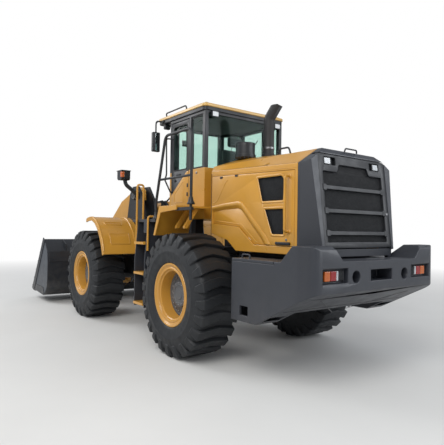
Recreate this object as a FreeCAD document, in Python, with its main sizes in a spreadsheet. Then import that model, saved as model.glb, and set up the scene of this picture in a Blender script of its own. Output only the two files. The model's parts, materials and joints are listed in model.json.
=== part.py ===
import FreeCAD, Part
import math
import os
import re
from types import SimpleNamespace
import Sketcher
from FreeCAD import Placement, Rotation, Vector

# Wheel loader, a rigid-framed machine hinged at its middle, in millimetres.
# +X points forward, +Y to the machine's left, +Z up. The ground is z = 0, and the origin is
# under the middle of the machine's own box. Heights are from the ground. Places along X are
# measured from the rear axle, the steering pivot or the front axle, as each name says.

DIMS = {
    # Places of the axles and the steering pivot, and sizes used all over the machine.
    "RearX": -2005,
    "WheelBase": 3300,
    "PivotAhead": 1650,
    "AxleHeight": 800,
    "TrackHalf": 1090,
    "Sheet": 30,
    "SkinGap": 6,
    "HingeGap": 0.3,
    "CabFloor": 1800,
    "HoodFront": 70,
    "ArchFront": 1607,
    # Wheels.
    "TyreRadius": 800,
    "TyreHalfWidth": 300,
    "TreadHalfWidth": 262,
    "TreadDepth": 43,
    "BaseHalfWidth": 225,
    "LugRoot": 640,
    "LugHalfLength": 58,
    "LugLean": 30,
    "BeadRadius": 330,
    "BeadHalfWidth": 235,
    "SideRadius": 590,
    "RimLipRadius": 412,
    "RimLipOut": 272,
    "RimLipIn": 250,
    "RimWall": 18,
    "RimStep": 14,
    "RimWellRadius": 300,
    "DiscOut": 85,
    "DiscThick": 30,
    "HubRadius": 170,
    "HubOut": 130,
    "HubBore": 110,
    "HubWall": 40,
    # Counterweight, with its boxes and lids.
    "WeightFront": 1010,
    "WeightRear": 2200,
    "WeightHalf": 1135,
    "WeightBottom": 640,
    "WeightTop": 1335,
    "WeightFlatEnd": 1430,
    "WeightChamferEnd": 2080,
    "WeightChamferTop": 975,
    "WeightRearBottom": 1040,
    "HornFoot": 1800,
    "HornRise": 1965,
    "HornTop": 1505,
    "DeckHeight": 1352,
    "DeckHalf": 640,
    "HornInner": 750,
    "HornInnerTop": 1470,
    "ArmInner": 800,
    "ArmEnd": 1690,
    "WeightCorner": 190,
    "BoxWall": 40,
    "LidThick": 30,
    "LidEnd": 1705,
    "HitchHalf": 190,
    "HitchLow": 1138,
    "HitchHigh": 1255,
    "HitchDeep": 200,
    "TowPinRadius": 26,
    "TowPinIn": 90,
    "EyeAcross": 435,
    "EyeHeight": 1190,
    "EyeRadius": 63,
    "EyeDeep": 120,
    "LampInner": 570,
    "LampOuter": 950,
    "LampLow": 1136,
    "LampHigh": 1284,
    "LampDeep": 60,
    "StepFront": 1160,
    "StepRear": 1300,
    "StepLow": 712,
    "StepHigh": 812,
    "StepDeep": 60,
    "LidHandleRadius": 9,
    "LidHandleRise": 45,
    "LidHandleFront": 1130,
    "LidHandleRear": 1260,
    # Tail lamps.
    "LensThick": 35,
    "LensInner": 600,
    "LensOuter": 900,
    "LensMargin": 18,
    # Rear frame.
    "RailHalf": 380,
    "RailThick": 40,
    "RailTop": 1300,
    "RailBottom": 760,
    "RailFront": 1250,
    "RailArchHalf": 330,
    "RailArchTop": 1010,
    "LugReach": 150,
    "LugHalf": 200,
    "LugThick": 60,
    "UpperLug": 1230,
    "LowerLug": 660,
    "PinRadius": 50,
    "PinClear": 0.05,
    "CrossThick": 40,
    "SillRear": 420,
    "SillFront": 1370,
    "SillOut": 710,
    "SeatPlateHalf": 600,
    "CradleHeight": 1010,
    "GearRear": 510,
    "ShaftRadius": 45,
    "SteerHeight": 960,
    "SteerPinRadius": 25,
    "SteerRearBack": 500,
    "SteerRearOut": 500,
    "SteerEyeHalf": 30,
    # Axles.
    "AxleTube": 130,
    "CasingRadius": 240,
    "CasingHalf": 150,
    "HubCaseRadius": 200,
    "HubCaseIn": 860,
    "WheelClear": 0.3,
    "AxlePadTop": 1010,
    "TowerBack": 1160,
    "BulkheadThick": 40,
    # Engine hood, its doors, and what stands on it.
    "HoodRear": 1680,
    "HoodHalf": 775,
    "ShoulderFront": 2440,
    "ShoulderRear": 2387,
    "EdgeHalfFront": 735,
    "EdgeFront": 2510,
    "EdgeHalfRear": 470,
    "EdgeRear": 2575,
    "CrownHalf": 300,
    "CrownFront": 2655,
    "CrownRear": 2592,
    "HoodBottom": 1390,
    "ArchEnd": 620,
    "DoorFront": 100,
    "DoorRear": 1640,
    "DoorTopDrop": 70,
    "DoorLow": 1480,
    "SeamHigh": 1737,
    "SeamMid": 1690,
    "SeamMidBack": 674,
    "SeamLowBack": 960,
    "StackBack": 340,
    "StackAcross": -20,
    "StackRadius": 76,
    "StackTop": 3230,
    "StackBase": 2560,
    "StackFoot": 100,
    "StackFootTop": 2720,
    "MouthReach": 130,
    "MouthTop": 3430,
    "CleanerBack": 190,
    "CleanerAcross": 285,
    "CleanerRadius": 135,
    "CleanerLow": 2640,
    "CleanerTop": 2870,
    "CleanerNeck": 70,
    "CleanerLip": 14,
    "DoorThick": 30,
    "BandRise": 12,
    "BandFrontTop": 1968,
    "BandPeak": 2026,
    "BandPeakBack": 689,
    "BandBend": 2000,
    "BandBendBack": 749,
    "BandKnee": 1587,
    "BandKneeBack": 1165,
    "BandEndBack": 1270,
    "VentRim": 20,
    "VentRimRise": 8,
    "VentHigh": 2292,
    "VentMidHigh": 1969,
    "VentMidLow": 1920,
    "VentLow": 1587,
    "VentFrontTop": 1000,
    "VentFrontMid": 1097,
    "VentFrontMidLow": 1128,
    "VentFrontLow": 1270,
    "VentRearTop": 1452,
    "VentRearMid": 1486,
    "VentRearLow": 1498,
    "ScreenThick": 8,
    "GripBack": 1560,
    "GripLow": 1620,
    "GripHigh": 2270,
    "GripRadius": 16,
    "GripOut": 70,
    # Grille housing and grille door.
    "HousingTopBack": 1800,
    "HousingLowBack": 1925,
    "HousingRise": 98,
    "CornerHalf": 640,
    "CornerStart": 1715,
    "GrilleHalf": 600,
    "GrilleRise": 25,
    "GrilleHigh": 2500,
    "GrilleThick": 60,
    "SlatDeep": 45,
    "SlatTall": 55,
    "ScreenBack": 35,
    "FrameWide": 45,
    "LampSquare": 110,
    "LampTall": 80,
    "LampDrop": 25,
    "LampMargin": 12,
    "LegWide": 60,
    "ApronGap": 20,
    "LegInset": 25,
    "ApronThick": 30,
    "LampAcross": 430,
    # Engine, radiator and gearbox.
    "EngineFront": 380,
    "EngineRear": 1320,
    "EngineHalf": 325,
    "EngineTop": 2000,
    "RadiatorFront": 1420,
    "RadiatorRear": 1600,
    "RadiatorHalf": 560,
    "RadiatorTop": 2280,
    "GearFront": 1050,
    "GearHalf": 300,
    "GearLow": 640,
    "GearTop": 1380,
    # Cab.
    "CabRear": 150,
    "CabFront": 1450,
    "CabTaper": 1120,
    "CabNose": 470,
    "CabHalf": 740,
    "CabFloorThick": 40,
    "CabWall": 40,
    "BeltHeight": 2530,
    "HeaderHeight": 3300,
    "HeaderThick": 60,
    "HeaderTall": 45,
    "RoofThick": 130,
    "RoofRear": 125,
    "RoofFront": 1500,
    "RoofHalf": 775,
    "RoofChamfer": 90,
    "PillarDeep": 70,
    "PillarWide": 60,
    "PostReach": 30,
    "DoorHinge": 570,
    "DoorLatch": 1075,
    "DoorHeadGap": 10,
    "SillRise": 50,
    "DoorLeaf": 40,
    "DoorWindowLow": 2550,
    "DoorRail": 55,
    "GlassThick": 8,
    "QuarterEnd": 520,
    "CabGap": 5,
    "SeatBack": 480,
    "SeatFront": 980,
    "SeatHalf": 250,
    "SeatRise": 470,
    "SeatThick": 130,
    "BackTall": 630,
    "BackThick": 120,
    "HeadHalf": 140,
    "HeadTall": 190,
    "SeatBaseHalf": 180,
    "ConsoleRear": 1290,
    "ConsoleHalf": 300,
    "ConsoleTall": 650,
    "WheelRadius": 200,
    # Fenders, walkways, ladders and rails.
    "FenderOut": 1300,
    "FenderTop": 1965,
    "FenderThick": 30,
    "FenderRear": 30,
    "FenderFront": 430,
    "FlapEnd": 585,
    "FlapLow": 1560,
    "WalkDrop": 10,
    "WalkThick": 40,
    "WalkFront": 1380,
    "WalkOut": 1240,
    "LadderBack": 850,
    "LadderFront": 1190,
    "LadderOut": 1290,
    "LadderIn": 1090,
    "StringerThick": 20,
    "LadderTall": 1290,
    "StepDrop": 335,
    "StepRise": 445,
    "StepThick": 35,
    "RailTube": 19,
    "RailTopHeight": 2930,
    "RailKnee": 2030,
    "RailFoot": 590,
    "RailTopFront": 350,
    "RailRear": -320,
    "RailMid": 2335,
    "LoopRise": 530,
    "LoopRearRise": 40,
    "LoopDrop": 460,
    "LoopIn": 1150,
    "LoopTube": 15,
    "LoopBend": 35,
    # Mirrors and lamps.
    "MirrorAhead": 1330,
    "MirrorOut": 890,
    "MirrorDrop": 465,
    "MirrorTall": 310,
    "MirrorWide": 130,
    "MirrorThick": 60,
    "MirrorTube": 12,
    "RoofLampOut": 600,
    "FrontLampAhead": 1280,
    "FrontLampOut": 700,
    # Front frame and steering.
    "BoomPinBack": 700,
    "BoomPinHeight": 2280,
    "BoomPinRadius": 60,
    "BoomPinHead": 95,
    "TowerInner": 370,
    "TowerOuter": 630,
    "TowerPlate": 40,
    "TowerTop": 2430,
    "TowerLow": 900,
    "TowerDeck": 1330,
    "TowerFront": 430,
    "BulkheadTop": 1560,
    "BulkheadLow": 740,
    "NoseThick": 60,
    "NoseGap": 5,
    "NoseReach": 150,
    "AxleSeatHalf": 170,
    "TiltPinBack": 880,
    "TiltPinHeight": 2097,
    "TiltPinRadius": 40,
    "TiltEarOut": 140,
    "LiftPinBack": 1000,
    "LiftPinHeight": 1460,
    "LiftPinRadius": 40,
    "ArmAcross": 500,
    "SteerFrontAhead": 340,
    "SteerFrontOut": 280,
    "SteerEarGap": 58,
    "SteerEarThick": 25,
    "FrontFenderLip": 70,
    "FrontFenderOut": 1360,
    "FrontFenderThick": 25,
    "LampArmBack": 850,
    "LampArmOut": 900,
    "LampArmHeight": 2520,
    "LampArmRadius": 35,
    "LampWide": 150,
    "LampTall": 170,
    "LampDepth": 130,
    # Boom.
    "ArmThick": 100,
    "BucketPinAhead": 1530,
    "BucketPinHeight": 500,
    "SmallPin": 45,
    "PinSlack": 0.05,
    "CrankAhead": 350,
    "CrankHeight": 1600,
    "CrossTubeAhead": 90,
    "CrossTubeHeight": 1800,
    "CrossTubeRadius": 100,
    "BracketIn": 105,
    "BracketThick": 35,
    "LiftEyeAhead": 250,
    "LiftEyeHeight": 1440,
    "EarThick": 30,
    # Bell crank and link.
    "RodEyeAhead": 550,
    "RodEyeHeight": 2000,
    "LinkPinAhead": 1099,
    "LinkPinHeight": 509,
    "EarPinAhead": 1530,
    "EarPinHeight": 780,
    "CrankIn": 55,
    "CrankThick": 40,
    "LinkIn": 105,
    "LinkThick": 35,
    "LinkWide": 65,
    "SpacerRadius": 75,
    "OpenHole": 50,
    # Bucket.
    "BucketHalf": 1500,
    "BucketPlate": 25,
    "SidePlate": 30,
    "HeelAhead": 2000,
    "HeelHeight": 150,
    "TipAhead": 2910,
    "TipHeight": 205,
    "BackAhead": 1678,
    "LipAhead": 2040,
    "LipHeight": 1400,
    "EdgeThick": 35,
    "EdgeDeep": 220,
    "BackTopHeight": 1130,
    "BucketEarOut": 30,
    "CentreEar": 48,
    "BucketPinHead": 115,
    "BucketPinHeadThick": 30,
    # Cylinders.
    "LiftRadius": 72,
    "LiftRod": 42,
    "LiftEyeHalf": 45,
    "LiftClosed": 1090,
    "LiftRodStart": 210,
    "TiltRadius": 85,
    "TiltRod": 45,
    "TiltEyeHalf": 50,
    "TiltClosed": 1050,
    "TiltRodStart": 330,
    "SteerRadius": 42,
    "SteerRod": 22,
    "SteerClosed": 585,
    "SteerRodStart": 340,
}

doc = FreeCAD.newDocument("WheelLoader")
sheet = doc.addObject("Spreadsheet::Sheet", "Dims")
for row, (name, number) in enumerate(DIMS.items(), 1):
    sheet.set(f"A{row}", name)
    sheet.set(f"B{row}", str(number))
    sheet.setAlias(f"B{row}", name)
size = SimpleNamespace(**DIMS)
nodes = {}

REAR = "RearX"
PIVOT = "(RearX + PivotAhead)"
FRONT = "(RearX + WheelBase)"
CAB_SLOPE = "(CabHalf - CabNose) / (CabFront - CabTaper)"


# Heights that follow from the sizes, so that what stands on or hangs from a part moves with it.
PLACES = {
    "HousingBottom": "(DeckHeight + HousingRise)",
    "GrilleLow": "(HousingBottom + GrilleRise)",
    "WalkHeight": "(CabFloor - WalkDrop)",
    "LadderBottom": "(WalkHeight - LadderTall)",
    "DoorSill": "(CabFloor + SillRise)",
    "SeatHeight": "(CabFloor + SeatRise)",
    "BackTop": "(SeatHeight + BackTall)",
    "HeadTop": "(BackTop + HeadTall)",
    "ConsoleTop": "(CabFloor + ConsoleTall)",
    "DoorHigh": "(HeaderHeight - DoorHeadGap)",
    "RoofLow": "(HeaderHeight + HeaderTall)",
    "RoofTop": "(RoofLow + RoofThick)",
    "MirrorLow": "(RoofLow - MirrorDrop)",
    "MirrorHigh": "(MirrorLow + MirrorTall)",
}
size.WalkHeight = size.CabFloor - size.WalkDrop
size.ConsoleTop = size.CabFloor + size.ConsoleTall
size.RoofLow = size.HeaderHeight + size.HeaderTall
size.MirrorLow = size.RoofLow - size.MirrorDrop


def bound(text):
    """An expression in which each size's name points at its cell, and each place is worked out from sizes."""
    def cell(word):
        name = word[0]
        return bound(PLACES[name]) if name in PLACES else ("Dims." if name in DIMS else "") + name

    return re.sub(r"[A-Za-z]\w*", cell, str(text))


def bind(thing, **expressions):
    """Tie properties to expressions; a double underscore stands for a dot."""
    for name, text in expressions.items():
        thing.setExpression(name.replace("__", "."), bound(text))


def sketch(body, plane, loops, circles=(), offset="0"):
    """Closed outlines and circles on one of the body's own planes, every point tied to the sheet."""
    drawing = body.newObject("Sketcher::SketchObject", body.Name + "Sketch")
    role = plane + "_Plane"
    drawing.AttachmentSupport = [(next(f for f in body.Origin.OriginFeatures if f.Role == role), "")]
    drawing.MapMode = "FlatFace"
    bind(drawing, AttachmentOffset__Base__z=offset)
    for points in loops:
        count = len(points)
        first = drawing.GeometryCount
        ring = [Vector(100 * math.cos(i * math.tau / count), 100 * math.sin(i * math.tau / count), 0)
                for i in range(count)]
        drawing.addGeometry([Part.LineSegment(ring[i], ring[(i + 1) % count]) for i in range(count)])
        drawing.addConstraint([Sketcher.Constraint("Coincident", first + i, 2, first + (i + 1) % count, 1)
                               for i in range(count)])
        for i, point in enumerate(points):
            for kind, start, text in (("DistanceX", ring[i].x, point[0]), ("DistanceY", ring[i].y,
                                                                           point[1])):
                number = drawing.addConstraint(Sketcher.Constraint(kind, -1, 1, first + i, 1, start))
                drawing.setExpression(f"Constraints[{number}]", bound(text))
    for across, up, radius in circles:
        number = drawing.addGeometry(Part.Circle(Vector(50, 50, 0), Vector(0, 0, 1), 10))
        for kind, text in (("DistanceX", across), ("DistanceY", up)):
            rule = drawing.addConstraint(Sketcher.Constraint(kind, -1, 1, number, 3, 50))
            drawing.setExpression(f"Constraints[{rule}]", bound(text))
        rule = drawing.addConstraint(Sketcher.Constraint("Radius", number, 10))
        drawing.setExpression(f"Constraints[{rule}]", bound(radius))
    return drawing


def across(plane, low, high):
    """Where a sketch lies so that a feature made both ways from it runs from low to high."""
    sign = "-" if plane == "XZ" else ""
    return f"{sign}(({low}) + ({high})) / 2"


def slab(name, plane, loops, low, high, circles=()):
    """A plate with the given outlines, from low to high across its plane."""
    body = doc.addObject("PartDesign::Body", name)
    pad = body.newObject("PartDesign::Pad", name + "Pad")
    pad.Profile = sketch(body, plane, loops, circles, across(plane, low, high))
    pad.Midplane = True
    bind(pad, Length=f"({high}) - ({low})")
    body.Tip = pad
    return body


def pocket(body, plane, loops, low, high, circles=()):
    """Cut the given outlines out of a body, from low to high across their plane."""
    hole = body.newObject("PartDesign::Pocket", body.Name + "Pocket")
    hole.Profile = sketch(body, plane, loops, circles, across(plane, low, high))
    hole.Midplane = True
    bind(hole, Length=f"({high}) - ({low})")
    body.Tip = hole
    return body


def turned(name, points, across_y="0"):
    """A solid turned about the body's own Y axis from an outline of radius and width."""
    body = doc.addObject("PartDesign::Body", name)
    drawing = sketch(body, "XY", [points])
    turn = body.newObject("PartDesign::Revolution", name + "Turn")
    turn.Profile = drawing
    turn.ReferenceAxis = (drawing, ["V_Axis"])
    turn.Angle = 360
    body.Tip = turn
    bind(body, Placement__Base__y=across_y)
    return body


def loft(name, plane, sections):
    """A ruled solid through outlines given as (place across the plane, points)."""
    body = doc.addObject("PartDesign::Body", name)
    drawings = [sketch(body, plane, [points], (), place) for place, points in sections]
    skin = body.newObject("PartDesign::AdditiveLoft", name + "Loft")
    skin.Profile = drawings[0]
    skin.Sections = drawings[1:]
    skin.Ruled = True
    body.Tip = skin
    return body


def rounded(body, radius, pick):
    """Round the edges of a body that pick chooses by their middle and direction."""
    doc.recompute()
    base = body.Tip
    chosen = [f"Edge{i + 1}" for i, edge in enumerate(base.Shape.Edges)
              if pick(edge.CenterOfMass, edge.tangentAt(edge.FirstParameter))]
    fillet = body.newObject("PartDesign::Fillet", body.Name + "Round")
    fillet.Base = (base, chosen)
    bind(fillet, Radius=radius)
    body.Tip = fillet
    return body


def box(name, x, y, z):
    """A block between pairs of places along X, Y and Z."""
    block = doc.addObject("Part::Box", name)
    for side, (low, high), letter in zip(("Length", "Width", "Height"), (x, y, z), "xyz"):
        block.setExpression(side, bound(f"({high}) - ({low})"))
        block.setExpression(f"Placement.Base.{letter}", bound(low))
    return block


TURN = {"x": Rotation(Vector(0, 1, 0), 90), "y": Rotation(Vector(1, 0, 0), -90), "z": Rotation()}


def drum(name, axis, centre, radius, low, high):
    """A cylinder along an axis; centre gives its two other places, in X, Y, Z order."""
    cylinder = doc.addObject("Part::Cylinder", name)
    cylinder.Placement = Placement(Vector(), TURN[axis])
    bind(cylinder, Radius=radius, Height=f"({high}) - ({low})")
    others = [letter for letter in "xyz" if letter != axis]
    cylinder.setExpression(f"Placement.Base.{axis}", bound(low))
    for letter, text in zip(others, centre):
        cylinder.setExpression(f"Placement.Base.{letter}", bound(text))
    return cylinder


def joined(name, *pieces):
    fusion = doc.addObject("Part::MultiFuse", name)
    fusion.Shapes = list(pieces)
    return fusion


def cut(name, base, *tools):
    result = doc.addObject("Part::Cut", name)
    result.Base = base
    result.Tool = tools[0] if len(tools) == 1 else joined(name + "Tools", *tools)
    return result


def common(name, *pieces):
    overlap = doc.addObject("Part::MultiCommon", name)
    overlap.Shapes = list(pieces)
    return overlap


def mirrored(name, piece):
    """The same piece on the machine's other side."""
    copy = doc.addObject("Part::Mirroring", name)
    copy.Source = piece
    copy.Normal = Vector(0, 1, 0)
    return copy


def group(name, *pieces):
    """Pieces that share a node without touching."""
    bundle = doc.addObject("Part::Compound", name)
    bundle.Links = list(pieces)
    return bundle


def both(name, piece):
    """A piece and its mirror image, apart or joined where they meet."""
    return joined(name, piece, mirrored(name + "Other", piece))


def made(name, shape):
    """A shape worked out in code, such as a bent tube."""
    feature = doc.addObject("Part::Feature", name)
    feature.Shape = shape
    return feature


def bent_tube(points, radius, bend):
    """A round bar along straight runs joined by tangent arcs."""
    points = [Vector(*point) for point in points]
    edges = []
    start = points[0]
    for before, corner, after in zip(points, points[1:], points[2:]):
        back = (before - corner).normalize()
        ahead = (after - corner).normalize()
        half = back.getAngle(ahead) / 2
        reach = bend / math.tan(half)
        first = corner + back * reach
        last = corner + ahead * reach
        inward = (back + ahead).normalize()
        middle = corner + inward * (bend / math.sin(half) - bend)
        edges += [Part.LineSegment(start, first).toShape(), Part.Arc(first, middle, last).toShape()]
        start = last
    edges.append(Part.LineSegment(start, points[-1]).toShape())
    path = Part.Wire(edges)
    ring = Part.Wire([Part.makeCircle(radius, points[0], points[1] - points[0])])
    return path.makePipeShell([ring], True, False)


def node(name, thing):
    """Name a finished sub-part."""
    thing.Label = name
    nodes[name] = thing


LUGS = 24


def lugged_tyre():
    """A tyre about the Y axis: a carcass of flat facets and a V-shaped lug over each of them."""
    tread = size.TyreRadius - size.TreadDepth
    bead = 1 / math.cos(math.pi / LUGS)
    half = [(size.BeadRadius * bead, size.BeadHalfWidth), (size.RimLipRadius * bead, size.RimLipIn),
            (size.SideRadius, size.TyreHalfWidth), (tread, size.BaseHalfWidth)]
    outline = half + [(radius, -across) for radius, across in reversed(half)]
    faces = []
    for lug in range(LUGS):
        first, last = (math.tau * (lug + end) / LUGS for end in (-0.5, 0.5))
        for (low, near), (high, far) in zip(outline, outline[1:] + outline[:1]):
            ring = [Vector(radius * math.sin(angle), across, radius * math.cos(angle)) for radius, across,
                    angle in (
                (low, near, first), (high, far, first), (high, far, last), (low, near, last))]
            faces.append(Part.Face(Part.makePolygon(ring + ring[:1])))
    carcass = Part.makeSolid(Part.makeShell(faces))
    long, lean = size.LugHalfLength, size.LugLean
    top = size.TyreRadius
    side = size.TyreHalfWidth
    plan = [(-lean - long, -side), (lean - long, 0), (-lean - long, side), (long - lean, side),
            (lean + long, 0),
            (long - lean, -side)]
    ring = [Vector(x, y, size.LugRoot) for x, y in plan]
    post = Part.Face(Part.makePolygon(ring + ring[:1])).extrude(Vector(0, 0, top - size.LugRoot))
    ring = [Vector(-2 * side, y, z) for y, z in ((-side + 3, size.LugRoot), (-size.TreadHalfWidth, top),
                                                 (size.TreadHalfWidth, top), (side - 3, size.LugRoot))]
    lug = post.common(Part.Face(Part.makePolygon(ring + ring[:1])).extrude(Vector(4 * side, 0, 0)))
    lugs = []
    for place in range(LUGS):
        turned_lug = lug.copy()
        turned_lug.rotate(Vector(), Vector(0, 1, 0), 360 * place / LUGS)
        lugs.append(turned_lug)
    return carcass.fuse(lugs).removeSplitter()


def wheels():
    """Four wheels: deep dished rims and wide lugged tyres, each turning on its axle's end."""
    tyre_shape = lugged_tyre()
    rim_outline = [
        ("HubBore", "DiscOut - DiscThick"), ("RimWellRadius", "DiscOut - DiscThick"),
        ("RimWellRadius", "-BeadHalfWidth"), ("RimLipRadius - RimWall", "-RimLipOut"),
        ("RimLipRadius", "-RimLipOut"), ("RimLipRadius", "-RimLipIn"), ("BeadRadius", "-BeadHalfWidth"),
        ("BeadRadius", "BeadHalfWidth"), ("RimLipRadius", "RimLipIn"), ("RimLipRadius", "RimLipOut"),
        ("RimLipRadius - RimWall", "RimLipOut"), ("BeadRadius - RimStep", "BeadHalfWidth + RimStep"),
        ("RimWellRadius", "BeadHalfWidth - RimStep"),
        ("RimWellRadius", "DiscOut"), ("HubRadius", "DiscOut"), ("HubRadius", "HubOut"), ("0", "HubOut"),
        ("0", "HubOut - HubWall"), ("HubBore", "HubOut - HubWall"),
    ]
    for end, axle in (("rear", REAR), ("front", FRONT)):
        for side, sign in (("left", "1"), ("right", "-1")):
            tag = f"{end}_{side}"
            facing = [(radius, f"{sign} * ({width})") for radius, width in rim_outline]
            rim = turned("Rim" + tag.title().replace("_", ""), facing, f"{sign} * TrackHalf")
            tyre = made("Tyre" + tag.title().replace("_", ""), tyre_shape)
            bind(tyre, Placement__Base__y=f"{sign} * TrackHalf")
            for kind, wheel in (("tyre", tyre), ("rim", rim)):
                bind(wheel, Placement__Base__x=axle, Placement__Base__z="AxleHeight")
                node(f"{kind}_{tag}", wheel)


def counterweight():
    """The cast weight at the rear: two arms beside the hood, a deck between two horns, a cut-up underside."""
    x = {name: f"RearX - {name}" for name in DIMS}
    side = slab("WeightSide", "XZ", [[
        (x["WeightFront"], "WeightBottom"), (x["WeightFlatEnd"], "WeightBottom"),
        (x["WeightChamferEnd"], "WeightChamferTop"), (x["WeightRear"], "WeightRearBottom"),
        (x["WeightRear"], "HornTop - 40"), (x["WeightRear"] + " + 35", "HornTop"),
                                      (x["HornRise"], "HornTop"),
        (x["HornFoot"], "WeightTop"), (x["WeightFront"], "WeightTop"),
    ]], "-WeightHalf", "WeightHalf")
    plan = slab("WeightPlan", "XY", [[
        (x["WeightFront"] + " + 10", "-WeightHalf"), (x["WeightRear"], "-WeightHalf"),
        (x["WeightRear"], "WeightHalf"), (x["WeightFront"] + " + 10", "WeightHalf"),
    ]], "WeightBottom - 10", "HornTop + 10")
    rounded(plan, "WeightCorner", lambda middle,
            way: abs(way.z) > 0.9 and middle.x < size.RearX - size.HornRise)
    slot = box("WeightSlot", (x["ArmEnd"], x["WeightFront"] + " + 10"), ("-ArmInner", "ArmInner"),
               ("WeightBottom - 10", "HornTop + 10"))
    deck = slab("WeightDeck", "YZ", [[
        ("-DeckHalf", "DeckHeight"), ("DeckHalf", "DeckHeight"), ("HornInner", "HornInnerTop"),
        ("HornInner + 40", "HornTop + 10"), ("-HornInner - 40", "HornTop + 10"),
                                      ("-HornInner", "HornInnerTop"),
    ]], x["WeightRear"] + " - 10", x["ArmEnd"] + " + 10")
    cavity = box("WeightBox", (x["LidEnd"] + " + 2 * BoxWall", x["WeightFront"] + " - BoxWall"),
                 ("ArmInner + BoxWall", "WeightHalf - BoxWall"), ("WeightBottom + BoxWall",
                                                                  "WeightTop + 10"))
    ledge = box("WeightLedge", (x["LidEnd"], x["WeightFront"] + " + 10"),
                ("ArmInner - 10", "WeightHalf + 10"),
                ("WeightTop - LidThick", "WeightTop + 10"))
    tail = box("TailRecess", (x["WeightRear"] + " - 10", x["WeightRear"] + " + LampDeep"),
               ("LampInner", "LampOuter"), ("LampLow", "LampHigh"))
    eye = drum("TieEye", "x", ("EyeAcross", "EyeHeight"), "EyeRadius", x["WeightRear"] + " - 10",
               x["WeightRear"] + " + EyeDeep")
    step = box("StepPocket", (x["StepRear"], x["StepFront"]), ("WeightHalf - StepDeep", "WeightHalf + 10"),
               ("StepLow", "StepHigh"))
    hitch = box("HitchPocket", (x["WeightRear"] + " - 10", x["WeightRear"] + " + HitchDeep"),
                ("-HitchHalf", "HitchHalf"), ("HitchLow", "HitchHigh"))
    pin = drum("TowPinBore", "z", (x["WeightRear"] + " + TowPinIn", "0"), "TowPinRadius",
               "WeightChamferTop - 60", "DeckHeight + 10")
    sides = both("WeightPockets", joined("WeightPocket", cavity, ledge, tail, eye, step))
    node("counterweight", cut("Counterweight", common("WeightBlock", side, plan), slot, deck, sides, hitch,
                              pin))

    lid = box("LidPlate", (x["LidEnd"] + " + 2", x["WeightFront"]), ("ArmInner + 2", "WeightHalf"),
              ("WeightTop - LidThick", "WeightTop"))
    level = size.WeightTop - 5
    height = size.WeightTop + size.LidHandleRise
    y = size.WeightHalf - 60
    ends = [size.RearX - size.LidHandleFront, size.RearX - size.LidHandleRear]
    handle = made("LidHandle", bent_tube([(ends[0], y, level), (ends[0], y, height), (ends[1], y, height),
                                          (ends[1], y, level)], size.LidHandleRadius, 20))
    left = joined("LidLeft", lid, handle)
    node("box_lid_left", left)
    node("box_lid_right", mirrored("LidRight", left))


def tail_lamps():
    """A lamp cluster in each recess of the rear face: amber, red and clear thirds share one body."""
    lens = box("TailLens", ("RearX - WeightRear + LampDeep - LensThick", "RearX - WeightRear + LampDeep"),
               ("LensInner", "LensOuter"), ("LampLow + LensMargin", "LampHigh - LensMargin"))
    node("tail_lamps", both("TailLamps", lens))


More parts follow.
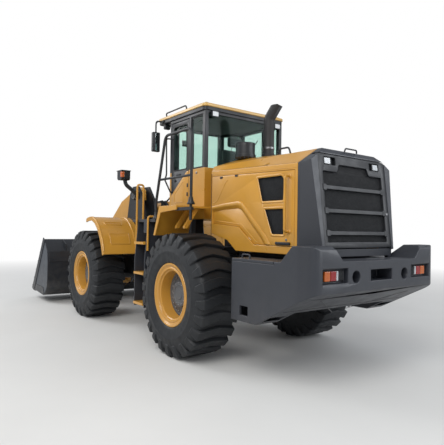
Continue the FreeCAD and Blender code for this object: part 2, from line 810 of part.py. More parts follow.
def rear_frame():
    """Two deep rails, cross plates and the two lugs of the steering pivot."""
    rail = slab("Rail", "XZ", [[
        (f"{REAR} - ArmEnd", "RailBottom + 260"), (f"{REAR} - 1200", "RailBottom"),
        (f"{REAR} - RailArchHalf - 120", "RailBottom"), (f"{REAR} - RailArchHalf", "RailArchTop"),
        (f"{REAR} + RailArchHalf", "RailArchTop"), (f"{REAR} + RailArchHalf + 120", "RailBottom - 80"),
        (f"{REAR} + RailFront", "RailBottom - 80"), (f"{REAR} + RailFront", "RailTop"),
        (f"{REAR} - ArmEnd", "RailTop"),
    ]], "RailHalf - RailThick", "RailHalf")
    cross_table = (
        ("RailFront", "RailHalf", "RailBottom - 80", "RailTop"),
        ("(-RailArchHalf - 130)", "RailHalf", "RailBottom", "CradleHeight"),
        ("GearRear", "RailHalf", "RailBottom - 80", "AxleHeight - ShaftRadius - 10"),
        ("(-ArmEnd + CrossThick)", "SeatPlateHalf", "RailBottom + 260", "RailTop"),
    )
    crosses = [box(f"Cross{i}", (f"{REAR} + {place} - CrossThick", f"{REAR} + {place}"), (f"-{half}", half),
                   (low, high))
               for i, (place, half, low, high) in enumerate(cross_table)]
    lugs = [slab(f"PivotLug{i}", "XY", [[
        (f"{REAR} + RailFront - 20", "-RailHalf"), (f"{PIVOT} - 40", "-LugHalf"), (f"{PIVOT} + LugReach",
                                                                                   "-LugHalf / 2"),
        (f"{PIVOT} + LugReach", "LugHalf / 2"), (f"{PIVOT} - 40", "LugHalf"), (f"{REAR} + RailFront - 20",
                                                                               "RailHalf"),
    ]], low, f"{low} + LugThick", [(PIVOT, "0", "PinRadius + PinClear")]) for i,
            low in enumerate(("UpperLug", "LowerLug"))]
    sill = box("CabSillBeam", (f"{REAR} + SillRear", f"{REAR} + SillFront"), ("RailHalf - 10", "SillOut"),
               ("RailTop - 160", "RailTop"))
    mounts = [box(f"CabMount{i}", (f"{REAR} + {place}", f"{REAR} + {place} + 120"),
                  ("SillOut - 190", "SillOut - 50"),
                  ("RailTop - 10", "CabFloor")) for i, place in enumerate(("(SillRear + 60)",
                                                                           "(SillFront - 150)"))]
    post = box("HoodPost", (f"{REAR} - HoodFront - Sheet - 60", f"{REAR} - HoodFront - Sheet"),
               ("RailHalf - RailThick", "RailHalf"), ("RailTop - 10", "ArchFront + 160"))
    ears = [slab(f"SteerRearEar{i}", "XY", [[
        (f"{PIVOT} - SteerRearBack - 90", "RailHalf - 10"), (f"{PIVOT} - SteerRearBack + 28",
                                                             "RailHalf - 10"),
        (f"{PIVOT} - SteerRearBack + 28", "SteerRearOut + 30"), (f"{PIVOT} - SteerRearBack - 10",
                                                                 "SteerRearOut + 45"),
        (f"{PIVOT} - SteerRearBack - 45", "SteerRearOut + 30")]], low, f"{low} + 25")
        for i, low in enumerate(("SteerHeight + SteerEyeHalf + 5", "SteerHeight - SteerEyeHalf - 30"))]
    anchor = drum("SteerAnchor", "z", (f"{PIVOT} - SteerRearBack", "SteerRearOut"), "SteerPinRadius",
                  "SteerHeight - SteerEyeHalf - 30", "SteerHeight + SteerEyeHalf + 30")
    sides = both("FrameSides", joined("FrameSide", rail, sill, *mounts, post, *ears, anchor))
    node("rear_frame", joined("RearFrame", sides, *crosses, *lugs))


def rear_axle():
    """Axle housing with its centre casing and hub ends, carrying the rear wheels; the front one is alike."""
    for name, axle in (("rear_axle", REAR), ("front_axle", FRONT)):
        tag = name.title().replace("_", "")
        tube = drum(tag + "Tube", "y", (axle, "AxleHeight"), "AxleTube", "-HubCaseIn", "HubCaseIn")
        casing = drum(tag + "Casing", "y", (axle, "AxleHeight"), "CasingRadius", "-CasingHalf", "CasingHalf")
        nose = drum(tag + "Nose", "x", ("0", "AxleHeight"), "CasingRadius / 2", axle,
                    f"{axle} + CasingRadius + 120"
                    ) if name == "rear_axle" else drum(tag + "Nose", "x", ("0", "AxleHeight"),
                                                       "CasingRadius / 2",
                                                       f"{axle} - CasingRadius - 120", axle)
        case = drum(tag + "HubCase", "y", (axle, "AxleHeight"), "HubCaseRadius", "HubCaseIn - 60",
                    "HubCaseIn + 180")
        spindle = drum(tag + "Spindle", "y", (axle, "AxleHeight"), "HubBore - WheelClear", "HubCaseIn",
                       "TrackHalf + HubOut - 45")
        pad = box(tag + "Pad", (f"{axle} - AxleTube", f"{axle} + AxleTube"),
                  ("RailHalf - 90", "RailHalf + 10"),
                  ("AxleHeight", "AxlePadTop"))
        ends = both(tag + "Ends", joined(tag + "End", case, spindle, pad))
        pieces = [tube, casing, nose, ends]
        if name == "front_axle":
            pieces.append(drum("FrontShaft", "x", ("0", "AxleHeight"), "ShaftRadius",
                               f"{axle} - TowerBack + BulkheadThick", f"{axle} - CasingRadius - 100"))
        node(name, joined(tag, *pieces))


def hood():
    """Engine hood: a roof and fixed side strips; the big side doors and the rear grille close its openings."""
    def section(inset, front):
        shoulder, edge, across_edge, crown = (
            ("ShoulderFront", "EdgeFront", "EdgeHalfFront", "CrownFront") if front
            else ("ShoulderRear", "EdgeRear", "EdgeHalfRear", "CrownRear"))
        half = [(f"HoodHalf - {inset}", f"HoodBottom - 2 * {inset}"), (f"HoodHalf - {inset}",
                                                                       f"{shoulder} - {inset} / 2"),
                (f"{across_edge} - {inset} / 2", f"{edge} - {inset}"), ("CrownHalf", f"{crown} - {inset}")]
        return half + [(f"-({y})", z) for y, z in reversed(half)]

    outer = loft("HoodOuter", "YZ", [(f"{REAR} - HoodFront", section("0", True)),
                                     (f"{REAR} - HoodRear", section("0", False))])
    inner = loft("HoodInner", "YZ", [(f"{REAR} - HoodFront - Sheet", section("Sheet", True)),
                                     (f"{REAR} - HoodRear - 1", section("Sheet", False))])
    below = slab("HoodUnder", "XZ", [[
        (f"{REAR} - HoodFront + 10", "ArchFront"), (f"{REAR} - ArchEnd + 180", "HoodBottom + 130"),
        (f"{REAR} - ArchEnd", "HoodBottom"), (f"{REAR} - HoodRear - 10", "HoodBottom"),
        (f"{REAR} - HoodRear - 10", "HoodBottom - 90"), (f"{REAR} - HoodFront + 10", "HoodBottom - 90"),
    ]], "-HoodHalf - 10", "HoodHalf + 10")
    opening = slab("DoorOpening", "XZ", [door_outline("0")], "HoodHalf - Sheet - 20", "HoodHalf + 10")
    stack_hole = drum("StackHole", "z", (f"{REAR} - StackBack", "StackAcross"), "StackFoot", "StackBase",
                      "StackTop")
    neck_hole = drum("NeckHole", "z", (f"{REAR} - CleanerBack", "CleanerAcross"), "CleanerNeck", "StackBase",
                     "StackTop")
    node("hood_shell", cut("HoodShell", outer, inner, below, stack_hole, neck_hole, both("DoorOpenings",
                                                                                         opening)))

    vents = [
        [(f"{REAR} - VentFrontTop", "VentHigh"), (f"{REAR} - VentRearTop", "VentHigh"),
         (f"{REAR} - VentRearMid", "VentMidHigh"), (f"{REAR} - VentFrontMid", "VentMidHigh")],
        [(f"{REAR} - VentFrontMidLow", "VentMidLow"), (f"{REAR} - VentRearMid", "VentMidLow"),
         (f"{REAR} - VentRearLow", "VentLow"), (f"{REAR} - VentFrontLow", "VentLow")],
    ]
    panel = slab("DoorPanel", "XZ", [door_outline("SkinGap", "HingeGap")] + vents, "HoodHalf - DoorThick",
                 "HoodHalf")
    screens = [slab(f"VentScreen{i}", "XZ", [vent], "HoodHalf - DoorThick",
                    "HoodHalf - DoorThick + ScreenThick")
               for i, vent in enumerate(vents)]
    back = size.RearX - size.GripBack
    inside = size.HoodHalf - 5
    out = size.HoodHalf + size.GripOut
    grip = made("DoorGrip", bent_tube([(back, inside, size.GripLow), (back, out, size.GripLow),
                                       (back, out, size.GripHigh), (back, inside, size.GripHigh)],
                                      size.GripRadius, 40))
    edge = "(SkinGap + 2)"
    band = slab("DoorBand", "XZ", [[
        (f"{REAR} - DoorFront - {edge}", f"SeamHigh + {edge}"), (f"{REAR} - SeamMidBack",
                                                                 f"SeamMid + {edge}"),
        (f"{REAR} - SeamLowBack", f"DoorLow + {edge}"), (f"{REAR} - BandEndBack", f"DoorLow + {edge}"),
        (f"{REAR} - BandKneeBack", "BandKnee"), (f"{REAR} - BandBendBack", "BandBend"),
        (f"{REAR} - BandPeakBack", "BandPeak"), (f"{REAR} - DoorFront - {edge}", "BandFrontTop"),
    ]], "HoodHalf - 1", "HoodHalf + BandRise")
    rims = []
    for i, vent in enumerate(vents):
        corners = zip(vent, (("+", "+"), ("-", "+"), ("-", "-"), ("+", "-")))
        around = [(f"{x} {along} VentRim", f"{z} {up} VentRim") for (x, z), (along, up) in corners]
        rims.append(slab(f"VentRim{i}", "XZ", [around, vent], "HoodHalf - 1", "HoodHalf + VentRimRise"))
    door = joined("EngineDoorLeft", panel, grip, band, *rims, *screens)
    node("engine_door_left", door)
    node("engine_door_right", mirrored("EngineDoorRight", door))


def door_outline(gap, hinge_gap="0"):
    """Outline of an engine door, or of its opening where the gaps are nought; its front edge is the hinge."""
    return [
        (f"{REAR} - DoorFront - {hinge_gap}", f"SeamHigh + {gap}"), (f"{REAR} - SeamMidBack",
                                                                     f"SeamMid + {gap}"),
        (f"{REAR} - SeamLowBack", f"DoorLow + {gap}"), (f"{REAR} - DoorRear + {gap}", f"DoorLow + {gap}"),
        (f"{REAR} - DoorRear + {gap}", f"ShoulderRear - DoorTopDrop - {gap}"),
        (f"{REAR} - DoorFront - {hinge_gap}", f"ShoulderFront - DoorTopDrop - {gap}"),
    ]


def grille():
    """The dark housing behind the hood and its slatted rear door with two work lamps."""
    body = slab("HousingSection", "YZ", [[
        ("HoodHalf", "HousingBottom"), ("HoodHalf", "ShoulderRear"), ("EdgeHalfRear", "EdgeRear"),
        ("-EdgeHalfRear", "EdgeRear"), ("-HoodHalf", "ShoulderRear"), ("-HoodHalf", "HousingBottom"),
    ]], f"{REAR} - HousingLowBack - 20", f"{REAR} - HoodRear")
    profile = slab("HousingProfile", "XZ", [[
        (f"{REAR} - HoodRear", "HousingBottom"), (f"{REAR} - HousingLowBack", "HousingBottom"),
        (f"{REAR} - HousingTopBack", "EdgeRear - 60"), (f"{REAR} - HousingTopBack + 50", "EdgeRear"),
        (f"{REAR} - HoodRear", "EdgeRear"),
    ]], "-HoodHalf", "HoodHalf")
    plan = slab("HousingPlan", "XY", [[
        (f"{REAR} - HoodRear", "HoodHalf"), (f"{REAR} - CornerStart", "HoodHalf"),
        (f"{REAR} - HousingLowBack", "CornerHalf"), (f"{REAR} - HousingLowBack", "-CornerHalf"),
        (f"{REAR} - CornerStart", "-HoodHalf"), (f"{REAR} - HoodRear", "-HoodHalf"),
    ]], "HousingBottom", "EdgeRear")
    hollow = box("HousingHollow", (f"{REAR} - HousingTopBack + 40", f"{REAR} - HoodRear + 10"),
                 ("-HoodHalf + 90", "HoodHalf - 90"), ("HousingBottom - 10", "ShoulderRear - 20"))
    mouth = box("GrilleMouth", (f"{REAR} - HousingLowBack - 20", f"{REAR} - HoodRear - 20"),
                ("-GrilleHalf - SkinGap", "GrilleHalf + HingeGap"), ("HousingBottom - 10",
                                                                     "GrilleHigh + 2 * SkinGap"))
    leg = box("HousingLeg", (f"{REAR} - HousingLowBack + LegInset",
                             f"{REAR} - HousingLowBack + LegInset + LegWide"),
              ("DeckHalf - 5 - LegWide", "DeckHalf - 5"),
              ("DeckHeight", "HousingBottom + 10"))
    apron = box("HousingApron", (f"{REAR} - HousingLowBack + LegInset",
                                 f"{REAR} - HousingLowBack + LegInset + ApronThick"),
                ("-(DeckHalf - 5)", "DeckHalf - 5"),
                ("DeckHeight + ApronGap", "HousingBottom + 10"))
    housing = cut("HousingShell", common("HousingBlock", body, profile, plan), hollow, mouth)
    node("grille_housing", joined("GrilleHousing", housing, apron, both("HousingLegs", leg)))

    slope = "(HousingLowBack - HousingTopBack) / (EdgeRear - 60 - HousingBottom)"

    def face(height, inward="0"):
        return f"{REAR} - HousingLowBack + ({height} - HousingBottom) * {slope} + {inward}"

    def sloped(name, low, high, near, far, half):
        return slab(name, "XZ", [[(face(low, near), low), (face(high, near), high), (face(high, far), high),
                                  (face(low, far), low)]], f"-({half})", half)

    frame = cut("GrilleRing", sloped("GrilleBlank", "GrilleLow", "GrilleHigh", "8", "GrilleThick",
                                     "GrilleHalf"),
                sloped("GrilleHole", "(GrilleLow + FrameWide)", "(GrilleHigh - 3 * FrameWide)", "-20",
                       "GrilleThick + 20",
                       "GrilleHalf - FrameWide"))
    screen = sloped("GrilleScreen", "(GrilleLow + 10)", "(GrilleHigh - 20)", "ScreenBack", "GrilleThick",
                    "GrilleHalf - 10")
    slats = [sloped(f"Slat{i}", f"(GrilleLow + {share} * (GrilleHigh - GrilleLow) - SlatTall / 2)",
                    f"(GrilleLow + {share} * (GrilleHigh - GrilleLow) + SlatTall / 2)", "0", "SlatDeep",
                    "GrilleHalf - 10")
             for i, share in enumerate((0.22, 0.46, 0.71))]

    def lamp(name, near, far, margin):
        high, low = f"(GrilleHigh - LampDrop + {margin})", f"(GrilleHigh - LampDrop - LampTall - {margin})"
        return both(f"{name}Pair", slab(name, "XZ", [[(face(low, near), low), (face(high, near), high),
                                                      (face(high, far), high), (face(low, far), low)]],
                                        f"LampAcross - LampSquare / 2 - {margin}",
                                        f"LampAcross + LampSquare / 2 + {margin}"))

    frame = cut("GrilleFrame", frame, lamp("LampRecess", "-20", "25", "LampMargin"))
    node("grille_door", joined("GrilleDoor", frame, screen, *slats, lamp("GrilleLamp", "15",
                                                                         "GrilleThick - 5", "0")))


def power_train():
    """Closed heavy blocks under the hood and cab: engine, radiator and gearbox, with the rear drive shaft."""
    engine = box("EngineBlock", (f"{REAR} - EngineRear", f"{REAR} - EngineFront"),
                 ("-EngineHalf", "EngineHalf"),
                 ("CradleHeight", "EngineTop"))
    radiator = box("Radiator", (f"{REAR} - RadiatorRear", f"{REAR} - RadiatorFront"),
                   ("-RadiatorHalf", "RadiatorHalf"),
                   ("RailTop", "RadiatorTop"))
    gearbox = box("Gearbox", (f"{REAR} + GearRear", f"{REAR} + GearFront"), ("-GearHalf", "GearHalf"),
                  ("GearLow", "GearTop"))
    shaft = drum("RearShaft", "x", ("0", "AxleHeight"), "ShaftRadius", f"{REAR} + CasingRadius + 120",
                 f"{REAR} + GearRear + 10")
    node("power_train", group("PowerTrain", engine, radiator, joined("GearboxAndShaft", gearbox, shaft)))


def hood_top():
    """What stands on the hood: the exhaust stack with its slanted mouth and the air pre-cleaner drum."""
    x, y = size.RearX - size.StackBack, size.StackAcross
    lean = size.MouthReach
    rise = size.MouthTop - size.StackTop
    path = [(x, y, size.StackBase), (x, y, size.StackTop), (x - lean, y - lean / 3, size.StackTop + rise)]
    pipe = bent_tube(path, size.StackRadius, size.StackRadius * 1.6)
    mouth = Part.makeBox(600, 600, 600, Vector(x - 300, y - 300, size.MouthTop - 20))
    stack = made("StackPipe", pipe.cut(mouth))
    foot = drum("StackFootRing", "z", (f"{REAR} - StackBack", "StackAcross"), "StackFoot", "StackBase",
                "StackFootTop")
    node("exhaust_stack", joined("ExhaustStack", stack, foot))
    top = drum("CleanerDrum", "z", (f"{REAR} - CleanerBack", "CleanerAcross"), "CleanerRadius",
               "CleanerLow + 40", "CleanerTop")
    neck = drum("CleanerNeckTube", "z", (f"{REAR} - CleanerBack", "CleanerAcross"), "CleanerNeck",
                "CleanerLow - 80",
                "CleanerLow + 60")
    skirt = drum("CleanerSkirt", "z", (f"{REAR} - CleanerBack", "CleanerAcross"),
                 "CleanerRadius + CleanerLip",
                 "CleanerLow + 40", "CleanerLow + 40 + 2 * CleanerLip")
    node("precleaner", joined("Precleaner", top, neck, skirt))


def cab():
    """The cab: a yellow tub, dark pillars, a roof slab, tinted panes, one door and what is inside."""
    def plan(name, wall, low, high):
        """A block over the cab's plan, whose front corners draw in, kept back from the outside by a wall."""
        left = [(f"{REAR} + CabRear + {wall}", f"CabHalf - {wall}"),
                (f"{REAR} + CabTaper - 0.36 * {wall}", f"CabHalf - {wall}"),
                (f"{REAR} + CabFront - {wall}", f"CabNose - 0.48 * {wall}")]
        return slab(name, "XY", [left + [(x, f"-({y})") for x, y in left[::-1]]], low, high)

    tub = plan("TubBlock", "0", "CabFloor", "BeltHeight")
    room = plan("TubRoom", "CabWall", "CabFloor + CabFloorThick", "BeltHeight + 10")
    way = box("TubDoorway", (f"{REAR} + DoorHinge", f"{REAR} + DoorLatch"), ("CabHalf - CabWall - 10",
                                                                             "CabHalf + 10"),
              ("DoorSill", "BeltHeight + 10"))
    node("cab_tub", cut("CabTub", tub, room, way))

    posts = []
    for i, (back, ahead) in enumerate((("CabRear", "CabRear + PillarDeep"), ("QuarterEnd", "DoorHinge"))):
        posts.append(box(f"Post{i}", (f"{REAR} + {back}", f"{REAR} + {ahead}"), ("CabHalf - PillarWide",
                                                                                 "CabHalf"),
                         ("BeltHeight", "HeaderHeight")))
    posts.append(slab("LatchPost", "XY", [[
        (f"{REAR} + DoorLatch", "CabHalf - PillarWide"), (f"{REAR} + DoorLatch", "CabHalf"),
        (f"{REAR} + CabTaper", "CabHalf"),
        (f"{REAR} + CabTaper + PostReach", f"CabHalf - PostReach * {CAB_SLOPE}"),
        (f"{REAR} + CabTaper + PostReach", f"CabHalf - PostReach * {CAB_SLOPE} - PillarWide"),
    ]], "BeltHeight", "HeaderHeight"))
    posts.append(slab("NosePost", "XY", [[
        (f"{REAR} + CabFront - PillarWide", f"CabNose + PillarWide * {CAB_SLOPE}"),
        (f"{REAR} + CabFront", "CabNose"), (f"{REAR} + CabFront", "CabNose - PillarWide"),
        (f"{REAR} + CabFront - PillarWide", "CabNose - PillarWide"),
    ]], "BeltHeight", "HeaderHeight"))
    header = cut("Header", plan("HeaderBlock", "0", "HeaderHeight", "RoofLow"),
                 plan("HeaderRoom", "HeaderThick", "HeaderHeight - 10", "RoofLow + 10"))
    node("cab_pillars", joined("CabPillars", header, both("Posts", joined("PostRow", *posts))))

    roof = slab("Roof", "YZ", [[
        ("-RoofHalf", "RoofLow"), ("RoofHalf", "RoofLow"), ("RoofHalf", "RoofTop - 50"),
                                ("RoofHalf - RoofChamfer", "RoofTop"),
        ("-RoofHalf + RoofChamfer", "RoofTop"), ("-RoofHalf", "RoofTop - 50"),
    ]], f"{REAR} + RoofRear", f"{REAR} + RoofFront")
    rounded(roof, "60", lambda middle, way: abs(way.z) > 0.9)
    node("cab_roof", roof)

    low, high = "BeltHeight", "HeaderHeight"
    inner, outer = "CabHalf - 20 - GlassThick", "CabHalf - 20"
    panes = []
    panes.append(both("SidePanes", box("SidePane", (f"{REAR} + CabRear + PillarDeep",
                                                    f"{REAR} + QuarterEnd"),
                                       (inner, outer), (low, high))))
    ends = [("CabTaper + PostReach", f"CabHalf - PostReach * {CAB_SLOPE}"),
            ("CabFront - PillarWide", f"CabNose + PillarWide * {CAB_SLOPE}")]
    panes.append(both("CornerPanes", slab("CornerPane", "XY", [
        [(f"{REAR} + {x}", f"{y} - 26") for x, y in ends]
        + [(f"{REAR} + {x}", f"{y} - 26 - 1.3 * GlassThick") for x, y in ends[::-1]]], low, high)))
    right = box("RightPane", (f"{REAR} + DoorHinge", f"{REAR} + DoorLatch"), (f"-({outer})", f"-({inner})"),
                (low, high))
    rear = box("RearPane", (f"{REAR} + CabRear + 20", f"{REAR} + CabRear + 20 + GlassThick"),
               ("-CabHalf + PillarWide", "CabHalf - PillarWide"), (low, high))
    front = box("FrontPane", (f"{REAR} + CabFront - 20 - GlassThick", f"{REAR} + CabFront - 20"),
                ("-CabNose + PillarWide", "CabNose - PillarWide"), (low, high))
    node("cab_glass", group("CabGlass", *panes, right, rear, front))

    leaf = slab("DoorLeafPlate", "XZ", [
        [(f"{REAR} + DoorHinge + HingeGap", "DoorSill + CabGap"), (f"{REAR} + DoorLatch - CabGap",
                                                                   "DoorSill + CabGap"),
         (f"{REAR} + DoorLatch - CabGap", "DoorHigh - CabGap"), (f"{REAR} + DoorHinge + HingeGap",
                                                                 "DoorHigh - CabGap")],
        [(f"{REAR} + DoorHinge + DoorRail", "DoorWindowLow"), (f"{REAR} + DoorLatch - DoorRail",
                                                               "DoorWindowLow"),
         (f"{REAR} + DoorLatch - DoorRail", "DoorHigh - DoorRail"), (f"{REAR} + DoorHinge + DoorRail",
                                                                     "DoorHigh - DoorRail")],
    ], "CabHalf - DoorLeaf", "CabHalf")
    node("cab_door", leaf)
    node("cab_door_glass", box("DoorPane", (f"{REAR} + DoorHinge + DoorRail",
                                            f"{REAR} + DoorLatch - DoorRail"),
                               ("CabHalf - 24", "CabHalf - 16"), ("DoorWindowLow", "DoorHigh - DoorRail")))

    cushion = box("SeatCushion", (f"{REAR} + SeatBack", f"{REAR} + SeatFront"), ("-SeatHalf", "SeatHalf"),
                  ("SeatHeight - SeatThick", "SeatHeight"))
    back = box("SeatBackrest", (f"{REAR} + SeatBack - BackThick", f"{REAR} + SeatBack"),
               ("-SeatHalf", "SeatHalf"),
               ("SeatHeight - SeatThick", "BackTop"))
    head = box("SeatHead", (f"{REAR} + SeatBack - BackThick + 10", f"{REAR} + SeatBack - 10"),
               ("-HeadHalf", "HeadHalf"),
               ("BackTop", "HeadTop"))
    base = box("SeatBase", (f"{REAR} + SeatBack + 60", f"{REAR} + SeatFront - 120"),
               ("-SeatBaseHalf", "SeatBaseHalf"),
               ("CabFloor + CabFloorThick", "SeatHeight - SeatThick"))
    node("seat", joined("Seat", cushion, back, head, base))

    dash = box("Dash", (f"{REAR} + ConsoleRear", f"{REAR} + CabFront - CabWall"),
               ("-ConsoleHalf", "ConsoleHalf"),
               ("CabFloor + CabFloorThick", "ConsoleTop"))
    top = Vector(size.RearX + size.ConsoleRear - 130, 0, size.ConsoleTop + 60)
    lean = Vector(-0.5, 0, 0.87)
    column = made("Column", Part.makeCylinder(35, 300, top - lean * 290, lean))
    ring = made("SteeringRing", Part.makeTorus(size.WheelRadius, 16, top, lean))
    spoke = made("SteeringSpoke", Part.makeBox(30, 2 * size.WheelRadius, 14, Vector(-15, -size.WheelRadius,
                                                                                    -7)))
    spoke.Placement = Placement(top, Rotation(Vector(0, 0, 1), lean))
    node("steering_column", joined("SteeringColumn", dash, column, ring, spoke))


def platforms():
    """Fenders over the rear wheels with the walkways, ladders and rails on them."""
    fender = slab("FenderSheet", "XZ", [[
        (f"{REAR} - FenderRear", "FenderTop"), (f"{REAR} + FenderFront", "FenderTop"), (f"{REAR} + FlapEnd",
                                                                                        "FlapLow"),
        (f"{REAR} + FlapEnd - FenderThick - 2", "FlapLow"), (f"{REAR} + FenderFront - 20",
                                                             "FenderTop - FenderThick"),
        (f"{REAR} - FenderRear", "FenderTop - FenderThick"),
    ]], "CabHalf", "FenderOut")
    skirt = slab("FenderSkirt", "XZ", [[
        (f"{REAR} - FenderRear", "FenderTop"), (f"{REAR} + FenderFront", "FenderTop"), (f"{REAR} + FlapEnd",
                                                                                        "FlapLow"),
        (f"{REAR} + FlapEnd - 50", "FlapLow"), (f"{REAR} + FenderFront - 40", "FenderTop - 90"),
        (f"{REAR} - FenderRear", "FenderTop - 60"),
    ]], "FenderOut - 20", "FenderOut")
    node("rear_fenders", both("RearFenders", joined("RearFender", fender, skirt)))

    def flap(height):
        return f"{REAR} + FenderFront + (FenderTop - ({height})) * (FlapEnd - FenderFront) / (FenderTop - FlapLow)"

    walk = slab("Walkway", "XZ", [[
        (flap("WalkHeight"), "WalkHeight"), (flap("WalkHeight - WalkThick"), "WalkHeight - WalkThick"),
        (f"{REAR} + WalkFront", "WalkHeight - WalkThick"), (f"{REAR} + WalkFront", "WalkHeight"),
    ]], "CabHalf + CabGap", "WalkOut")
    beams = box("WalkBeam", (f"{REAR} + 900", f"{REAR} + 1000"), ("SillOut - 60", "WalkOut"),
                ("WalkHeight - 200", "WalkHeight - WalkThick"))
    leg = box("WalkLeg", (f"{REAR} + 900", f"{REAR} + 1000"), ("SillOut - 60", "SillOut"),
              ("RailTop", "WalkHeight - 150"))
    stringers = []
    for i, place in enumerate(("LadderBack", "LadderFront - StringerThick")):
        stringers.append(slab(f"Stringer{i}", "YZ", [[
            ("LadderIn", "LadderBottom"), ("LadderOut", "LadderBottom"), ("LadderOut", "LadderBottom + 700"),
            ("WalkOut", "WalkHeight"), ("WalkOut - 150", "WalkHeight"),
        ]], f"{REAR} + {place}", f"{REAR} + {place} + StringerThick"))
    node("walkways", both("Walkways", joined("WalkwaySide", walk, beams, leg, *stringers)))
    steps = [box(f"Tread{i}", (f"{REAR} + LadderBack + StringerThick",
                               f"{REAR} + LadderFront - StringerThick"),
                 ("LadderIn + 10", "LadderOut + 20"), (f"{level} - StepThick", level))
             for i, level in enumerate(f"WalkHeight - StepDrop - {step} * StepRise" for step in (2, 1, 0))]
    treads = group("Treads", *steps)
    node("ladder_steps", group("LadderSteps", treads, mirrored("TreadsOther", treads)))

    y = size.WalkOut + size.RailTube
    foot = size.RearX + size.RailFoot
    front = size.RearX + size.RailTopFront
    rear = size.RearX + size.RailRear
    top = size.RailTopHeight
    hoop = made("RailHoop", bent_tube([
        (foot, y, size.WalkHeight - size.WalkThick), (foot, y, size.RailKnee), (front, y, top),
                                       (rear, y, top),
        (rear, y, size.FenderTop - 200)], size.RailTube, 100))
    at_leg = foot + (front - foot) * (size.RailMid - size.RailKnee) / (top - size.RailKnee)
    bar = made("RailBar", Part.makeCylinder(size.RailTube - 3, at_leg - rear, Vector(rear, y, size.RailMid),
                                            Vector(1, 0, 0)))
    rear_foot = box("RailRearFoot", (f"{REAR} + RailRear - 30", f"{REAR} - FenderRear + 60"),
                    ("WalkOut + RailTube - 20", "WalkOut + RailTube + 20"),
                    ("FenderTop - FenderThick - 40", "FenderTop - FenderThick"))
    node("platform_rails", both("PlatformRails", joined("PlatformRail", hoop, bar, rear_foot)))

    loops = []
    for i, (x, rise) in enumerate(((size.RearX + size.LadderFront + size.LoopTube, size.LoopRise),
                                   (size.RearX + size.LadderBack - size.LoopTube, size.LoopRearRise))):
        out = size.WalkOut + size.LoopTube
        low, crest = size.WalkHeight - size.LoopDrop, size.WalkHeight + rise
        loops.append(made(f"StepLoop{i}", bent_tube([(x, out, low), (x, out, crest), (x, size.LoopIn, crest),
                                                     (x, size.LoopIn, size.WalkHeight)], size.LoopTube,
                                                    size.LoopBend)))
    loops = group("StepLoops", *loops)
    node("ladder_rails", group("LadderRails", loops, mirrored("StepLoopsOther", loops)))


def cab_trim():
    """Mirrors and lamps carried by the cab roof."""
    x = size.RearX + size.MirrorAhead
    arm = made("MirrorArm", bent_tube([(x, size.RoofHalf, size.RoofLow + 30), (x, size.MirrorOut,
                                                                               size.RoofLow + 30),
                                       (x, size.MirrorOut, size.MirrorLow + 40)], size.MirrorTube, 60))
    head = box("MirrorHead", (f"{REAR} + MirrorAhead - MirrorThick / 2",
                              f"{REAR} + MirrorAhead + MirrorThick / 2"),
               ("MirrorOut - MirrorWide / 2", "MirrorOut + MirrorWide / 2"), ("MirrorLow", "MirrorHigh"))
    node("mirrors", both("Mirrors", joined("Mirror", arm, head)))
    rear_lamp = box("RearRoofLamp", (f"{REAR} + CabRear - 45", f"{REAR} + CabRear"), ("RoofLampOut - 60",
                                                                                      "RoofLampOut + 60"),
                    ("RoofLow - 110", "RoofLow - 1"))
    front_lamp = box("FrontRoofLamp", (f"{REAR} + FrontLampAhead", f"{REAR} + FrontLampAhead + 60"),
                     ("FrontLampOut - 50", "FrontLampOut + 50"), ("RoofLow - 90", "RoofLow - 0.5"))
    node("work_lamps", group("WorkLamps", both("RearRoofLamps", rear_lamp), both("FrontRoofLamps",
                                                                                 front_lamp)))



